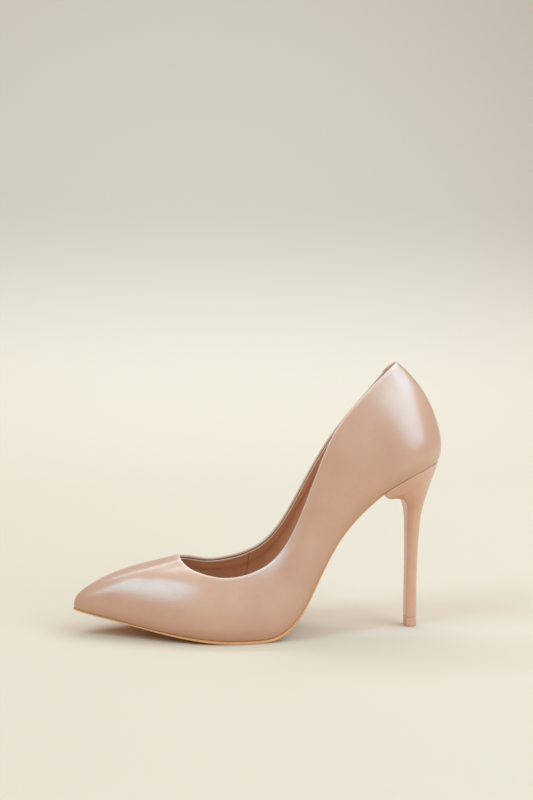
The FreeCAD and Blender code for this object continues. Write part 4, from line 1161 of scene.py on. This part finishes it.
def make_light():
    world = bpy.data.worlds.new("room")
    bpy.context.scene.world = world
    world.use_nodes = True
    background = world.node_tree.nodes["Background"]
    background.inputs["Color"].default_value = (*ROOM_TONE, 1.0)
    background.inputs["Strength"].default_value = ROOM_LIGHT
    for name, turn, rise, distance, size, radiance, tone in SOFT_LIGHTS:
        turn, rise = math.radians(turn), math.radians(rise)
        away = Vector((math.sin(turn) * math.cos(rise), -math.cos(turn) * math.cos(rise), math.sin(rise)))
        power = radiance * math.pi * size[0] * size[1]
        area_light(name, LIGHT_TARGET + away * distance, LIGHT_TARGET, size, power, tone)
    area_light("wall_wash", WASH_PLACE, WASH_TARGET, WASH_SIZE, WASH_POWER, WASH_TONE)
    bpy.context.scene.view_settings.view_transform = "Standard"


def make_backdrop():
    """Pale paper sweep: floor, a wide bend and a wall."""
    profile = [(-FLOOR_REACH, 0.0), (-1.0, 0.0), (0.0, 0.0), (SWEEP_START, 0.0)]
    for k in range(1, SWEEP_STEPS + 1):
        turn = math.pi / 2.0 * k / SWEEP_STEPS
        profile.append((SWEEP_START + SWEEP_RADIUS * math.sin(turn), SWEEP_RADIUS * (1.0 - math.cos(turn))))
    profile.append((SWEEP_START + SWEEP_RADIUS, FLOOR_REACH))
    points = [(x, y, z) for y, z in profile for x in (-FLOOR_REACH, FLOOR_REACH)]
    floor = build("paper_sweep", points, grid_faces(len(profile), 2))
    dress(floor, paper())


# ---- the whole scene ----
def dress_frame():
    """Materials of the CAD parts that stay as they are."""
    looks = {
        "topline_tape": woven("woven_tape_look", linear(230, 226, 216), 1200.0),
        "toe_puff": plastic("thermoplastic_look", linear(220, 217, 206), 0.6, 500.0),
        "heel_counter": plastic("counter_look", linear(214, 208, 192), 0.6, 500.0),
        "insole_board": board("cellulose_look", linear(196, 170, 132), linear(168, 140, 104), 260.0),
        "shank_board": board("fibre_board_look", linear(122, 92, 68), linear(96, 70, 50), 320.0),
        "forepart_filler": board("felt_look", linear(150, 138, 122), linear(112, 102, 90), 520.0),
        "shank": metal("spring_steel_look", linear(150, 154, 166), 0.34, 2200.0),
        "shank_rivets": metal("rivet_look", linear(188, 188, 192), 0.38, 1400.0),
        "heel_core": plastic("heel_abs_look", linear(222, 212, 188), 0.45, 700.0),
        "heel_tube": metal("tube_look", linear(176, 178, 186), 0.3, 1800.0),
        "heel_screw": metal("screw_look", linear(200, 204, 208), 0.3, 1600.0),
        "heel_nails": metal("nail_look", linear(192, 196, 200), 0.34, 1600.0),
        "heel_tip_pin": metal("pin_look", linear(196, 200, 206), 0.26, 1800.0),
    }
    for node, material in looks.items():
        dress(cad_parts[node], material)


def make_shoe():
    make_upper()
    lining, stitches, filling = lining_leather(), thread(), foam()
    make_lining("vamp_lining_leather", "vamp_lining", VAMP_LINING, lining)
    make_lining("quarter_lining_leather", "quarter_lining", QUARTER_LINING, lining)
    make_topline_stitching(stitches)
    make_back_tab(nude_leather("tab_leather_look", LEATHER_TONE, LEATHER_SHADE), stitches)
    make_sock()
    make_pad("forepart_foam", "forepart_pad", FOREPART_PAD_ENDS, FOREPART_PAD_INSET, filling)
    make_pad("heel_foam", "heel_pad", HEEL_PAD_ENDS, HEEL_PAD_INSET, filling)
    make_outsole()
    make_heel_cover()
    make_tip()
    dress_frame()


make_camera()
make_light()
make_backdrop()
make_shoe()
